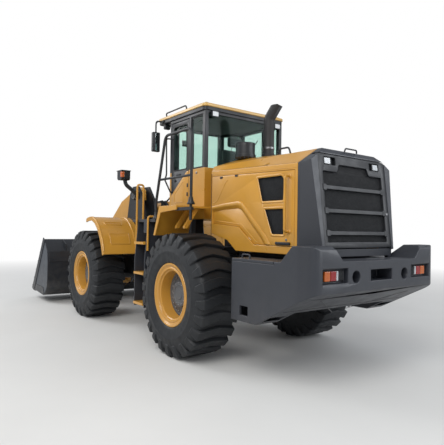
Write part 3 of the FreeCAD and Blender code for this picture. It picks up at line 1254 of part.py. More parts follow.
def front_frame():
    """The front frame: towers that carry the boom, a bulkhead and the pivot's inner lugs with their pins."""
    outline = [
        (f"{FRONT} - TowerBack", "TowerLow - 100"), (f"{FRONT} - AxleSeatHalf - 100", "TowerLow - 100"),
        (f"{FRONT} - AxleSeatHalf", "AxlePadTop"), (f"{FRONT} + AxleSeatHalf", "AxlePadTop"),
        (f"{FRONT} + TowerFront", "TowerDeck - 150"), (f"{FRONT} + 120", "TowerDeck + 40"),
        (f"{FRONT} - 330", "TowerDeck + 240"), (f"{FRONT} - BoomPinBack + 200", "TowerTop - 120"),
        (f"{FRONT} - BoomPinBack + 90", "TowerTop"), (f"{FRONT} - BoomPinBack - 120", "TowerTop"),
        (f"{FRONT} - BoomPinBack - 330", "TowerTop - 240"), (f"{FRONT} - TowerBack", "BulkheadTop"),
    ]
    plates = [slab(f"Tower{i}", "XZ", [outline], low, f"{low} + TowerPlate", [
        (f"{FRONT} - BoomPinBack", "BoomPinHeight", "BoomPinRadius")])
        for i, low in enumerate(("TowerInner", "TowerOuter - TowerPlate"))]
    floor = box("TowerFloor", (f"{FRONT} - TowerBack", f"{FRONT} - AxleSeatHalf - 100"),
                ("TowerInner", "TowerOuter"),
                ("TowerLow - 100", "TowerLow - 60"))
    pin = drum("BoomPivotPin", "y", (f"{FRONT} - BoomPinBack", "BoomPinHeight"), "BoomPinRadius",
               "TowerInner - 10",
               "TowerOuter + 10")
    cap = drum("BoomPivotCap", "y", (f"{FRONT} - BoomPinBack", "BoomPinHeight"), "BoomPinHead", "TowerOuter",
               "TowerOuter + 25")
    lift_pin = drum("LiftPivotPin", "y", (f"{FRONT} - LiftPinBack", "LiftPinHeight"), "LiftPinRadius",
                    "TowerInner + 10", "TowerOuter - 10")
    tilt_ear = slab("TiltEar", "XZ", [[
        (f"{FRONT} - TowerBack", "TiltPinHeight - 420"), (f"{FRONT} - TiltPinBack + 70",
                                                          "TiltPinHeight - 90"),
        (f"{FRONT} - TiltPinBack + 70", "TiltPinHeight + 80"), (f"{FRONT} - TiltPinBack - 90",
                                                                "TiltPinHeight + 80"),
        (f"{FRONT} - TowerBack", "TiltPinHeight - 150"),
    ]], "TiltEarOut - 40", "TiltEarOut")
    side = both("TowerSides", joined("TowerSide", *plates, floor, pin, cap, lift_pin, tilt_ear))
    bulkhead = slab("Bulkhead", "YZ", [[
        ("-TowerOuter", "BulkheadLow"), ("TowerOuter", "BulkheadLow"), ("TowerOuter", "BulkheadTop"),
        ("TowerInner", "TiltPinHeight - 120"), ("-TowerInner", "TiltPinHeight - 120"),
                                        ("-TowerOuter", "BulkheadTop"),
    ]], f"{FRONT} - TowerBack", f"{FRONT} - TowerBack + BulkheadThick")
    tilt_pin = drum("TiltPivotPin", "y", (f"{FRONT} - TiltPinBack", "TiltPinHeight"), "TiltPinRadius",
                    "-TiltEarOut - 10",
                    "TiltEarOut + 10")
    noses = []
    for i, low in enumerate(("UpperLug - NoseGap - NoseThick", "LowerLug + LugThick + NoseGap")):
        noses.append(slab(f"Nose{i}", "XY", [[
            (f"{FRONT} - TowerBack + 20", "-SteerFrontOut - 60"), (f"{FRONT} - TowerBack + 20",
                                                                   "SteerFrontOut + 60"),
            (f"{PIVOT} + 120", "NoseReach"), (f"{PIVOT} - 60", "NoseReach"), (f"{PIVOT} - NoseReach", "60"),
            (f"{PIVOT} - NoseReach", "-60"), (f"{PIVOT} - 60", "-NoseReach"), (f"{PIVOT} + 120",
                                                                               "-NoseReach"),
        ]], low, f"{low} + NoseThick"))
    upper = drum("UpperPivotPin", "z", (PIVOT, "0"), "PinRadius", "UpperLug - NoseGap - NoseThick + 5",
                 "UpperLug + LugThick + 15")
    lower = drum("LowerPivotPin", "z", (PIVOT, "0"), "PinRadius", "LowerLug - 15",
                 "LowerLug + LugThick + NoseGap + 20")
    steer = []
    for i, sign in enumerate(("", "-")):
        across_y = f"{sign}SteerFrontOut"
        for j, low in enumerate(("SteerHeight + SteerEarGap", "SteerHeight - SteerEarGap - SteerEarThick")):
            steer.append(box(f"SteerEar{i}{j}", (f"{PIVOT} + SteerFrontAhead - 50",
                                                 f"{FRONT} - TowerBack + 20"),
                             (f"{across_y} - 55", f"{across_y} + 55"), (low, f"{low} + SteerEarThick")))
    node("front_frame", joined("FrontFrame", side, bulkhead, tilt_pin, *noses, upper, lower, *steer))

    # Angle about the front axle from straight ahead, and distance from it.
    curve = ((102, 1045), (108, 1095), (116, 1165), (124, 1190), (132, 1190), (140, 1178), (148, 1162),
             (155, 1148),
             (159, 1142))

    def arch(inward, points):
        return [(f"{FRONT} + ({reach} - {inward}) * cos({angle} deg)",
                 f"AxleHeight + ({reach} - {inward}) * sin({angle} deg)")
                for angle, reach in points]

    sheet_part = slab("FrontFenderSheet", "XZ", [arch("0", curve) + arch("FrontFenderThick", curve[::-1])],
                      "TowerOuter",
                      "FrontFenderOut")
    lip = slab("FrontFenderLip", "XZ", [arch("0", curve) + arch("FrontFenderLip", curve[::-1])],
               "FrontFenderOut - FrontFenderThick", "FrontFenderOut")
    fender = joined("FrontFender", sheet_part, lip)
    node("front_fenders", group("FrontFenders", fender, mirrored("FrontFenderRight", fender)))
    x = size.RearX + size.WheelBase - size.LampArmBack
    level = size.BoomPinHeight - 30
    arm = made("LampArm", bent_tube([(x, size.TowerOuter, level), (x, size.LampArmOut, level),
                                     (x, size.LampArmOut, size.LampArmHeight + 20)], size.LampArmRadius, 90))
    lamp = box("FrontLamp", (f"{FRONT} - LampArmBack - 40", f"{FRONT} - LampArmBack + LampDepth"),
               ("LampArmOut - LampWide / 2", "LampArmOut + LampWide / 2"),
               ("LampArmHeight", "LampArmHeight + LampTall"))
    front_lamp = joined("FrontLampSide", arm, lamp)
    node("front_lamps", group("FrontLamps", front_lamp, mirrored("FrontLampRight", front_lamp)))


def plate_with_holes(name, points, low, high, holes):
    """A plate standing along the machine with round holes given as (ahead of the front axle, height, radius)."""
    return slab(name, "XZ", [[(f"{FRONT} + {ahead}", height) for ahead, height in points]], low, high,
                [(f"{FRONT} + {ahead}", height, radius) for ahead, height, radius in holes])


def boom():
    """Two curved arms joined by a cross tube, with brackets for the bell crank and ears for the lift rods."""
    arm_line = [
        ("-820", "2180"), ("-800", "2370"), ("-660", "2430"), ("60", "2180"), ("700", "1720"),
                ("1240", "1050"), ("1350", "850"),
        ("1625", "575"), ("1630", "425"), ("1530", "375"), ("1400", "430"), ("1090", "820"), ("560", "1360"),
        ("60", "1650"), ("-560", "2090"), ("-700", "2120"),
    ]
    arm = plate_with_holes("BoomArm", arm_line, "ArmAcross - ArmThick / 2", "ArmAcross + ArmThick / 2", [
        ("(-BoomPinBack)", "BoomPinHeight", "BoomPinRadius + PinSlack"),
        ("BucketPinAhead", "BucketPinHeight", "SmallPin + PinSlack")])
    ear_line = [("LiftEyeAhead - 70", "LiftEyeHeight - 70"), ("LiftEyeAhead + 70", "LiftEyeHeight - 70"),
                ("LiftEyeAhead + 170", "LiftEyeHeight + 50"), ("LiftEyeAhead + 110", "LiftEyeHeight + 220"),
                ("LiftEyeAhead - 100", "LiftEyeHeight + 250"), ("LiftEyeAhead - 70", "LiftEyeHeight + 50")]
    ears = [plate_with_holes(f"LiftEar{i}", ear_line, low, f"{low} + EarThick", [])
            for i, low in enumerate(("ArmAcross - ArmThick / 2 - EarThick", "ArmAcross + ArmThick / 2"))]
    tube = drum("CrossTube", "y", (f"{FRONT} + CrossTubeAhead", "CrossTubeHeight"), "CrossTubeRadius",
                "-(ArmAcross - ArmThick / 2)", "ArmAcross - ArmThick / 2")
    bracket = plate_with_holes("CrankBracket", [
        ("CrossTubeAhead - 80", "CrossTubeHeight + 20"), ("CrossTubeAhead - 20", "CrossTubeHeight - 90"),
        ("CrankAhead - 40", "CrankHeight - 100"), ("CrankAhead + 90", "CrankHeight - 60"),
        ("CrankAhead + 90", "CrankHeight + 70"), ("CrankAhead - 40", "CrankHeight + 120"),
        ("CrossTubeAhead + 60", "CrossTubeHeight + 80")],
        "BracketIn", "BracketIn + BracketThick", [("CrankAhead", "CrankHeight", "SmallPin + PinSlack")])
    node("boom", joined("Boom", tube, both("BoomArms", joined("BoomArmSet", arm, *ears)),
                        both("CrankBrackets", bracket)))


def tilt_linkage():
    """Bell crank, link and their pins: the crank turns on the boom, the link pulls the bucket's centre ear."""
    crank_line = [
        ("RodEyeAhead - 80", "RodEyeHeight - 20"), ("RodEyeAhead - 40", "RodEyeHeight + 80"),
        ("RodEyeAhead + 60", "RodEyeHeight + 70"), ("RodEyeAhead + 80", "RodEyeHeight - 40"),
        ("CrankAhead + 180", "CrankHeight + 30"), ("LinkPinAhead + 80", "LinkPinHeight + 60"),
        ("LinkPinAhead + 80", "LinkPinHeight - 60"), ("LinkPinAhead - 20", "LinkPinHeight - 90"),
        ("LinkPinAhead - 100", "LinkPinHeight"), ("CrankAhead - 90", "CrankHeight - 120"),
        ("CrankAhead - 130", "CrankHeight + 40"),
    ]
    plate = plate_with_holes("CrankPlate", crank_line, "CrankIn", "CrankIn + CrankThick", [
        ("CrankAhead", "CrankHeight", "SmallPin + PinSlack"), ("LinkPinAhead", "LinkPinHeight",
                                                               "SmallPin + PinSlack")])
    spacers = []
    for i, (ahead, height) in enumerate((("CrankAhead", "CrankHeight"), ("LinkPinAhead", "LinkPinHeight"))):
        outer = drum(f"CrankSpacerOuter{i}", "y", (f"{FRONT} + {ahead}", height), "SpacerRadius", "-CrankIn",
                     "CrankIn")
        inner = drum(f"CrankSpacerBore{i}", "y", (f"{FRONT} + {ahead}", height), "SmallPin + PinSlack",
                     "-CrankIn - 1",
                     "CrankIn + 1")
        spacers.append(cut(f"CrankSpacer{i}", outer, inner))
    node("bellcrank", joined("Bellcrank", both("CrankPlates", plate), *spacers))
    for name, ahead, height, reach in (("crank_pin", "CrankAhead", "CrankHeight",
                                        "BracketIn + BracketThick"),
                                       ("link_pin", "LinkPinAhead", "LinkPinHeight", "LinkIn + LinkThick")):
        tag = name.title().replace("_", "")
        shaft = drum(tag + "Shaft", "y", (f"{FRONT} + {ahead}", height), "SmallPin", f"-({reach})", reach)
        heads = both(tag + "Heads", drum(tag + "Head", "y", (f"{FRONT} + {ahead}", height),
                                         "SpacerRadius - 10",
                                         f"{reach} + 1", f"{reach} + 16"))
        stem = drum(tag + "Stem", "y", (f"{FRONT} + {ahead}", height), "SmallPin - 10", f"-({reach}) - 2",
                    f"{reach} + 2")
        node(name, joined(tag, shaft, heads, stem))
    link = plate_with_holes("LinkPlate", [
        ("LinkPinAhead - LinkWide", "LinkPinHeight + 20"), ("LinkPinAhead - 40", "LinkPinHeight + LinkWide"),
        ("EarPinAhead - 50", "EarPinHeight + LinkWide"), ("EarPinAhead + 50", "EarPinHeight + 50"),
        ("EarPinAhead + 50", "EarPinHeight - 50"), ("EarPinAhead", "EarPinHeight - LinkWide"),
        ("LinkPinAhead + 30", "LinkPinHeight - LinkWide"), ("LinkPinAhead - LinkWide",
                                                            "LinkPinHeight - 40")],
        "LinkIn", "LinkIn + LinkThick", [("LinkPinAhead", "LinkPinHeight", "SmallPin + PinSlack")])
    tie = box("LinkTie", (f"{FRONT} + (LinkPinAhead + EarPinAhead) / 2 - 30",
                          f"{FRONT} + (LinkPinAhead + EarPinAhead) / 2 + 30"),
              ("-LinkIn - 5", "LinkIn + 5"), ("(LinkPinHeight + EarPinHeight) / 2 - 30",
                                              "(LinkPinHeight + EarPinHeight) / 2 + 30"))
    node("tilt_link", joined("TiltLink", both("LinkPlates", link), tie))


def bucket():
    """The bucket: a wide shell of plates with a cutting edge, side cutters, a spill guard and rear ears."""
    outer = [("TipAhead", "TipHeight"), ("HeelAhead", "HeelHeight"), ("HeelAhead - 170", "HeelHeight + 65"),
             ("HeelAhead - 290", "HeelHeight + 190"), ("BackAhead + 5", "HeelHeight + 370"),
             ("BackAhead", "900"),
             ("BackAhead + 50", "BackTopHeight"), ("LipAhead - 60", "LipHeight - 10")]

    inner = [("TipAhead + 60", "TipHeight + EdgeThick + 4"), ("HeelAhead", "HeelHeight + BucketPlate"),
             ("HeelAhead - 160", "HeelHeight + 65 + BucketPlate"), ("HeelAhead - 270", "HeelHeight + 200"),
             ("BackAhead + BucketPlate + 5", "HeelHeight + 375"), ("BackAhead + BucketPlate", "900"),
             ("BackAhead + 50 + BucketPlate", "BackTopHeight"), ("LipAhead - 60", "LipHeight - 50"),
             ("LipAhead + 60", "LipHeight + 100"),
             ("TipAhead + 60", "LipHeight + 100")]
    shell = slab("BucketBlock", "XZ", [[(f"{FRONT} + {ahead}", height) for ahead, height in outer]],
                 "-BucketHalf", "BucketHalf")
    hollow = slab("BucketHollow", "XZ", [[(f"{FRONT} + {ahead}", height) for ahead, height in inner]],
                  "-BucketHalf + SidePlate", "BucketHalf - SidePlate")
    ears = []
    for i, low in enumerate(("ArmAcross - ArmThick / 2 - EarThick - BucketEarOut",
                             "ArmAcross + ArmThick / 2 + BucketEarOut")):
        ears.append(plate_with_holes(f"BucketEar{i}", [
            ("BackAhead + 15", "HeelHeight + 150"), ("BucketPinAhead - 60", "BucketPinHeight - 90"),
            ("BucketPinAhead - 100", "BucketPinHeight"), ("BucketPinAhead - 60", "BucketPinHeight + 90"),
            ("BackAhead + 15", "BucketPinHeight + 260")], low, f"{low} + EarThick",
            [("BucketPinAhead", "BucketPinHeight", "SmallPin + PinSlack")]))
    centre = plate_with_holes("CentreEarPlate", [
        ("BackAhead + 10", "EarPinHeight - 260"), ("EarPinAhead - 40", "EarPinHeight - 90"),
        ("EarPinAhead - 80", "EarPinHeight"), ("EarPinAhead - 40", "EarPinHeight + 80"),
        ("BackAhead + 20", "EarPinHeight + 200")], "-CentreEar", "CentreEar",
                              [("EarPinAhead", "EarPinHeight", "OpenHole")])
    cutter = plate_with_holes("SideCutter", [
        ("TipAhead - 40", "TipHeight + 10"), ("LipAhead - 20", "LipHeight + 20"), ("LipAhead - 140",
                                                                                   "LipHeight - 40"),
        ("TipAhead - 240", "TipHeight + 10")], "BucketHalf", "BucketHalf + 20", [])
    fall = "(TipHeight - HeelHeight) / (TipAhead - HeelAhead)"
    edge = plate_with_holes("CuttingEdge", [
        ("TipAhead", "TipHeight"), ("TipAhead - EdgeDeep", f"TipHeight - EdgeDeep * {fall}"),
        ("TipAhead - EdgeDeep", f"TipHeight - EdgeDeep * {fall} - BucketPlate"),
        ("TipAhead - 2 * BucketPlate", "TipHeight - BucketPlate")], "-BucketHalf", "BucketHalf", [])
    node("bucket", joined("Bucket", cut("BucketShell", shell, hollow), centre, edge,
                          both("BucketEars", joined("BucketEarSet", *ears, cutter))))
    reach = "ArmAcross + ArmThick / 2 + BucketEarOut + EarThick"
    near = "ArmAcross - ArmThick / 2 - BucketEarOut - EarThick"
    place = (f"{FRONT} + BucketPinAhead", "BucketPinHeight")
    shaft = drum("BucketPinShaft", "y", place, "SmallPin", near, reach)
    heads = [drum("BucketPinHeadOut", "y", place, "BucketPinHead", f"{reach} + 1",
                  f"{reach} + 1 + BucketPinHeadThick"),
             drum("BucketPinHeadIn", "y", place, "BucketPinHead", f"{near} - 1 - BucketPinHeadThick",
                  f"{near} - 1"),
             drum("BucketPinStem", "y", place, "SmallPin - 10", f"{near} - 3", f"{reach} + 3")]
    pin = joined("BucketPin", shaft, *heads)
    node("bucket_pins", group("BucketPins", pin, mirrored("BucketPinRight", pin)))


def cylinder_pair(tag, base, eye, half, radius, rod_radius, pin, closed, rod_start, mirror):
    """A barrel and its rod between two places (x, across, z): base carries the barrel, eye is the rod's open end.

    The barrel is closed long; the rod starts rod_start from the base, so it stays in the barrel over its stroke.
    """
    base = Vector(*base)
    eye = Vector(*eye)
    way = (eye - base).normalize()
    side = Vector(0, 1, 0) if abs(way.z) > 1e-6 or abs(way.y) < 1e-6 else Vector(0, 0, 1)
    hub = Part.makeCylinder(radius * 0.9, 2 * half, base - side * half, side)
    neck = Part.makeCylinder(half * 0.9, radius * 2, base, way)
    tube = Part.makeCylinder(radius, closed - radius * 1.5, base + way * radius * 1.5, way)
    collar = Part.makeCylinder(radius + 8, 60, base + way * (closed - 60), way)
    hole = Part.makeCylinder(pin + 0.05, 4 * half, base - side * 2 * half, side)
    bore = Part.makeCylinder(rod_radius + 0.05, closed, base + way * radius * 2.2, way)
    barrel = hub.fuse([neck, tube, collar]).cut(hole).cut(bore)
    length = (eye - base).Length
    ring = Part.makeCylinder(radius * 0.9, 2 * half, eye - side * half, side)
    rod = Part.makeCylinder(rod_radius, length - rod_start - radius * 0.5, base + way * rod_start,
                            way).fuse(ring)
    barrel_part = made(tag + "Barrel", barrel)
    rod_part = made(tag + "Rod", rod)
    if not mirror:
        return barrel_part, rod_part
    return (group(tag + "Barrels", barrel_part, mirrored(tag + "BarrelRight", barrel_part)),
            group(tag + "Rods", rod_part, mirrored(tag + "RodRight", rod_part)))


def cylinders():
    """Lift, tilt and steering cylinders, each a barrel on its pin and a rod that slides in it."""
    front = size.RearX + size.WheelBase
    pivot = size.RearX + size.PivotAhead
    barrels, rods = cylinder_pair(
        "Lift", (front - size.LiftPinBack, size.ArmAcross, size.LiftPinHeight),
        (front + size.LiftEyeAhead, size.ArmAcross, size.LiftEyeHeight), size.LiftEyeHalf, size.LiftRadius,
                                  size.LiftRod,
        size.LiftPinRadius, size.LiftClosed, size.LiftRodStart, True)
    node("lift_barrels", barrels)
    node("lift_rods", rods)
    barrel, rod = cylinder_pair(
        "Tilt", (front - size.TiltPinBack, 0, size.TiltPinHeight), (front + size.RodEyeAhead, 0,
                                                                    size.RodEyeHeight),
        size.TiltEyeHalf, size.TiltRadius, size.TiltRod, size.TiltPinRadius, size.TiltClosed,
                                size.TiltRodStart, False)
    node("tilt_barrel", barrel)
    node("tilt_rod", rod)
    barrel, rod = cylinder_pair(
        "Steer", (pivot - size.SteerRearBack, size.SteerRearOut, size.SteerHeight),
        (pivot + size.SteerFrontAhead, size.SteerFrontOut, size.SteerHeight), size.SteerEyeHalf,
                                size.SteerRadius,
        size.SteerRod, size.SteerPinRadius, size.SteerClosed, size.SteerRodStart, False)
    node("steer_barrel_left", barrel)
    node("steer_rod_left", rod)
    node("steer_barrel_right", mirrored("SteerBarrelRight", barrel))
    node("steer_rod_right", mirrored("SteerRodRight", rod))


wheels()
counterweight()
tail_lamps()
rear_frame()
rear_axle()
hood()
grille()
power_train()
hood_top()
cab()
platforms()
cab_trim()
front_frame()
boom()
tilt_linkage()
bucket()
cylinders()

doc.recompute()
problems = [thing.Name for thing in doc.Objects if {"Invalid", "Error"} & set(thing.State)]
problems += [name for name, thing in nodes.items() if thing.Shape.isNull() or not thing.Shape.isValid()]
if problems:
    raise SystemExit("not sound: " + ", ".join(problems))
os.makedirs("parts", exist_ok=True)
for name, thing in nodes.items():
    thing.Shape.exportStep(f"parts/{name}.step")
print(len(nodes), "sub-parts,", len(DIMS), "sizes")
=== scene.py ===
import json
import math
import bmesh
import bpy
from mathutils import Matrix, Vector

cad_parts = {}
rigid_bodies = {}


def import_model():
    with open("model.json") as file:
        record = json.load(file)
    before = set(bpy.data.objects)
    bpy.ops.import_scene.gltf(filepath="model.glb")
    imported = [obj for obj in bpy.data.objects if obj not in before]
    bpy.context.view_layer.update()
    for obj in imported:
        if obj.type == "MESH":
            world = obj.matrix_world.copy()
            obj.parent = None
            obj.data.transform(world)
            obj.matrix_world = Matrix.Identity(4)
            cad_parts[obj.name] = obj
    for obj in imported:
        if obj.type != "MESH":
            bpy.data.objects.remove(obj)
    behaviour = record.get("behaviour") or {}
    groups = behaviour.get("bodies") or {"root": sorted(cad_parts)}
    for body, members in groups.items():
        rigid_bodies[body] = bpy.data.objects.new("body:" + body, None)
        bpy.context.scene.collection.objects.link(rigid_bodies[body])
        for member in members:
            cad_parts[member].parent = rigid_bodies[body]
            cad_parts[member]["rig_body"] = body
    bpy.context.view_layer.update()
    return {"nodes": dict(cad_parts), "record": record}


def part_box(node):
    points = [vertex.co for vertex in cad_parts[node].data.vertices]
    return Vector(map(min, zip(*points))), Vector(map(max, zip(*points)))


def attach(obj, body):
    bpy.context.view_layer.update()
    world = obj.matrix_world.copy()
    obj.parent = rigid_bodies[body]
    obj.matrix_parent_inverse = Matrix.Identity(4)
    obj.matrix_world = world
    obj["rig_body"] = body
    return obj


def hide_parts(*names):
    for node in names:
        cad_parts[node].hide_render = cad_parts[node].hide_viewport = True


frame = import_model()
NODES = frame["nodes"]

# Places shared with the solids, in metres: the axles, the steering pivot and the ground plane z = 0.
REAR = -2.005
PIVOT = -0.355
FRONT = 1.295
AXLE = 0.8
TRACK = 1.09
SIDES = (("left", 1), ("right", -1))


# Materials

def plain(value):
    """A display colour, 0 to 255 a channel, as the linear colour a shader takes."""
    return tuple((c / 255 / 12.92 if c <= 10 else ((c / 255 + 0.055) / 1.055) ** 2.4) for c in value) + (1.0,)


class Nodes:
    """A material's node tree with short ways to add and join nodes."""

    def __init__(self, name):
        self.material = bpy.data.materials.new(name)
        self.material.use_nodes = True
        self.tree = self.material.node_tree
        self.shader = self.tree.nodes["Principled BSDF"]
        self.output = self.tree.nodes["Material Output"]

    def add(self, kind, **inputs):
        made = self.tree.nodes.new(kind)
        for key, value in inputs.items():
            made.inputs[key.replace("_", " ")].default_value = value
        return made

    def link(self, source, target):
        self.tree.links.new(source, target)

    def place(self):
        return self.tree.nodes.new("ShaderNodeTexCoord").outputs["Object"]

    def noise(self, scale, detail=4.0, rough=0.55, stretch=None):
        made = self.add("ShaderNodeTexNoise", Scale=scale, Detail=detail, Roughness=rough)
        source = self.place()
        if stretch:
            mapping = self.tree.nodes.new("ShaderNodeMapping")
            mapping.inputs["Scale"].default_value = stretch
            self.link(source, mapping.inputs["Vector"])
            source = mapping.outputs["Vector"]
        self.link(source, made.inputs["Vector"])
        return made.outputs["Fac"]

    def steps(self, source, *stops):
        """A ramp of (place, value); a value is a grey level or a colour."""
        ramp = self.tree.nodes.new("ShaderNodeValToRGB")
        while len(ramp.color_ramp.elements) < len(stops):
            ramp.color_ramp.elements.new(0.5)
        for element, (place, value) in zip(ramp.color_ramp.elements, stops):
            element.position = place
            element.color = value if isinstance(value, tuple) else (value, value, value, 1.0)
        self.link(source, ramp.inputs["Fac"])
        return ramp.outputs["Color"]

    def mix(self, share, first, second):
        made = self.tree.nodes.new("ShaderNodeMix")
        made.data_type = "RGBA"
        for socket, value in ((made.inputs[0], share), (made.inputs[6], first), (made.inputs[7], second)):
            if isinstance(value, (tuple, float)):
                socket.default_value = value
            else:
                self.link(value, socket)
        return made.outputs[2]

    def bump(self, height, strength, distance):
        made = self.add("ShaderNodeBump", Strength=strength, Distance=distance)
        self.link(height, made.inputs["Height"])
        self.link(made.outputs["Normal"], self.shader.inputs["Normal"])
        return made

    def edges(self, radius=0.006):
        """A mask of the convex edges, where paint is lightened as painted highlight and where it rubs thin: how far the
        rounded normal leaves the true one.
        """
        bevel = self.add("ShaderNodeBevel", Radius=radius)
        bevel.samples = 4
        normal = self.tree.nodes.new("ShaderNodeNewGeometry").outputs["Normal"]
        dot = self.tree.nodes.new("ShaderNodeVectorMath")
        dot.operation = "DOT_PRODUCT"
        self.link(bevel.outputs["Normal"], dot.inputs[0])
        self.link(normal, dot.inputs[1])
        return self.steps(dot.outputs["Value"], (0.80, 1.0), (0.97, 0.0))

    def height_above_ground(self):
        split = self.tree.nodes.new("ShaderNodeSeparateXYZ")
        self.link(self.place(), split.inputs[0])
        return split.outputs["Z"]


def paint(name, colour, rough=0.32, coat=0.35, lit_and_worn_edge=(210, 190, 150), wear=0.35, dust=0.25, peel=0.25):
    """Gloss paint over steel: slight colour drift, orange peel, lighter convex edges that are part painted highlight
    and part rubbed paint, dust that settles low down.
    """
    made = Nodes(name)
    base = plain(colour)
    shade = tuple(c * 0.86 for c in base[:3]) + (1.0,)
    drift = made.steps(made.noise(1.7, 5.0), (0.35, 0.0), (0.7, 1.0))
    tone = made.mix(drift, shade, base)
    # Painted highlight and wear: a lighter colour in patches on the convex edges, partly light caught by the edges and
    # partly rubbed paint.
    edge_light_and_wear = made.tree.nodes.new("ShaderNodeMath")
    edge_light_and_wear.operation = "MULTIPLY"
    made.link(made.edges(), edge_light_and_wear.inputs[0])
    made.link(made.steps(made.noise(34.0, 3.0), (0.45, 0.0), (0.62, wear)), edge_light_and_wear.inputs[1])
    tone = made.mix(edge_light_and_wear.outputs[0], tone, plain(lit_and_worn_edge))
    low = made.steps(made.height_above_ground(), (0.0, dust), (1.0, 0.0))
    speck = made.tree.nodes.new("ShaderNodeMath")
    speck.operation = "MULTIPLY"
    made.link(low, speck.inputs[0])
    made.link(made.steps(made.noise(9.0, 8.0, 0.7), (0.4, 0.0), (0.75, 1.0)), speck.inputs[1])
    tone = made.mix(speck.outputs[0], tone, plain((150, 140, 124)))
    made.link(tone, made.shader.inputs["Base Color"])
    made.link(made.steps(made.noise(6.0, 6.0), (0.3, rough * 0.85), (0.75, rough * 1.3)), made.shader.inputs["Roughness"])
    made.shader.inputs["Coat Weight"].default_value = coat
    made.shader.inputs["Coat Roughness"].default_value = 0.12
    made.bump(made.noise(160.0, 2.0), peel, 0.0006)
    return made.material


def rubber(name, colour=(23, 26, 30), rough=0.58, dust=0.12):
    made = Nodes(name)
    base = plain(colour)
    pale = plain((70, 70, 69))
    dusty = made.steps(made.noise(5.0, 8.0, 0.7), (0.42, 0.0), (0.8, dust))
    made.link(made.mix(dusty, base, pale), made.shader.inputs["Base Color"])
    made.link(made.steps(made.noise(14.0, 6.0), (0.3, rough * 0.8), (0.75, rough * 1.25)), made.shader.inputs["Roughness"])
    made.bump(made.noise(90.0, 8.0, 0.65), 0.35, 0.0015)
    return made.material


def moulded(name, colour, rough=0.5, grain=420.0):
    """Moulded plastic or satin-coated small parts with a fine grain."""
    made = Nodes(name)
    base = plain(colour)
    lighter = tuple(min(1.0, c * 1.35 + 0.004) for c in base[:3]) + (1.0,)
    made.link(made.mix(made.steps(made.noise(11.0, 5.0), (0.4, 0.0), (0.8, 1.0)), base, lighter),
              made.shader.inputs["Base Color"])
    made.link(made.steps(made.noise(25.0, 4.0), (0.3, rough * 0.85), (0.8, rough * 1.2)), made.shader.inputs["Roughness"])
    made.bump(made.noise(grain, 2.0), 0.25, 0.0004)
    return made.material


def bare_metal(name, colour, rough, stretch=(60.0, 1.5, 60.0)):
    made = Nodes(name)
    made.shader.inputs["Metallic"].default_value = 1.0
    base = plain(colour)
    darker = tuple(c * 0.7 for c in base[:3]) + (1.0,)
    brushed = made.noise(8.0, 6.0, 0.6, stretch)
    made.link(made.mix(brushed, darker, base), made.shader.inputs["Base Color"])
    made.link(made.steps(brushed, (0.3, rough * 0.7), (0.8, rough * 1.4)), made.shader.inputs["Roughness"])
    return made.material


def pane(name, colour, see_through=0.92):
    """Tinted safety glass: see-through, with a clear gloss and faint smears."""
    made = Nodes(name)
    smear = made.noise(3.0, 5.0)
    made.link(made.mix(made.steps(smear, (0.3, 0.0), (0.8, 1.0)), plain((16, 26, 25)), plain((30, 44, 42))),
              made.shader.inputs["Base Color"])
    made.link(made.steps(smear, (0.3, 0.02), (0.8, 0.06)), made.shader.inputs["Roughness"])
    made.shader.inputs["Specular IOR Level"].default_value = 0.8
    clear = made.add("ShaderNodeBsdfTransparent", Color=plain(colour))
    blend = made.add("ShaderNodeMixShader")
    slant = made.add("ShaderNodeLayerWeight", Blend=0.5)
    weight = made.steps(slant.outputs["Facing"], (0.55, 1.0 - see_through), (1.0, 0.9))
    made.link(weight, blend.inputs[0])
    made.link(clear.outputs[0], blend.inputs[1])
    made.link(made.shader.outputs[0], blend.inputs[2])
    made.link(blend.outputs[0], made.output.inputs["Surface"])
    return made.material


def lens(name, colour, glow=0.0):
    made = Nodes(name)
    ribs = made.tree.nodes.new("ShaderNodeTexWave")
    ribs.inputs["Scale"].default_value = 60.0
    ribs.bands_direction = "Y"
    made.link(made.place(), ribs.inputs["Vector"])
    base = plain(colour)
    dark = tuple(c * 0.6 for c in base[:3]) + (1.0,)
    made.link(made.mix(ribs.outputs["Fac"], dark, base), made.shader.inputs["Base Color"])
    made.shader.inputs["Roughness"].default_value = 0.12
    made.shader.inputs["Coat Weight"].default_value = 0.8
    made.shader.inputs["Transmission Weight"].default_value = 0.0
    if glow:
        made.shader.inputs["Emission Color"].default_value = base
        made.shader.inputs["Emission Strength"].default_value = glow
    made.bump(ribs.outputs["Fac"], 0.3, 0.001)
    return made.material


def cloth(name, colour):
    """A woven seat cover: crossed threads, soft sheen."""
    made = Nodes(name)
    waves = []
    for way in ("X", "Y"):
        wave = made.tree.nodes.new("ShaderNodeTexWave")
        wave.inputs["Scale"].default_value = 140.0
        wave.bands_direction = way
        made.link(made.place(), wave.inputs["Vector"])
        waves.append(wave.outputs["Fac"])
    weave = made.mix(0.5, waves[0], waves[1])
    base = plain(colour)
    light = tuple(c * 1.8 + 0.004 for c in base[:3]) + (1.0,)
    made.link(made.mix(weave, base, light), made.shader.inputs["Base Color"])
    made.shader.inputs["Roughness"].default_value = 0.9
    made.shader.inputs["Sheen Weight"].default_value = 0.3
    made.bump(weave, 0.4, 0.001)
    return made.material


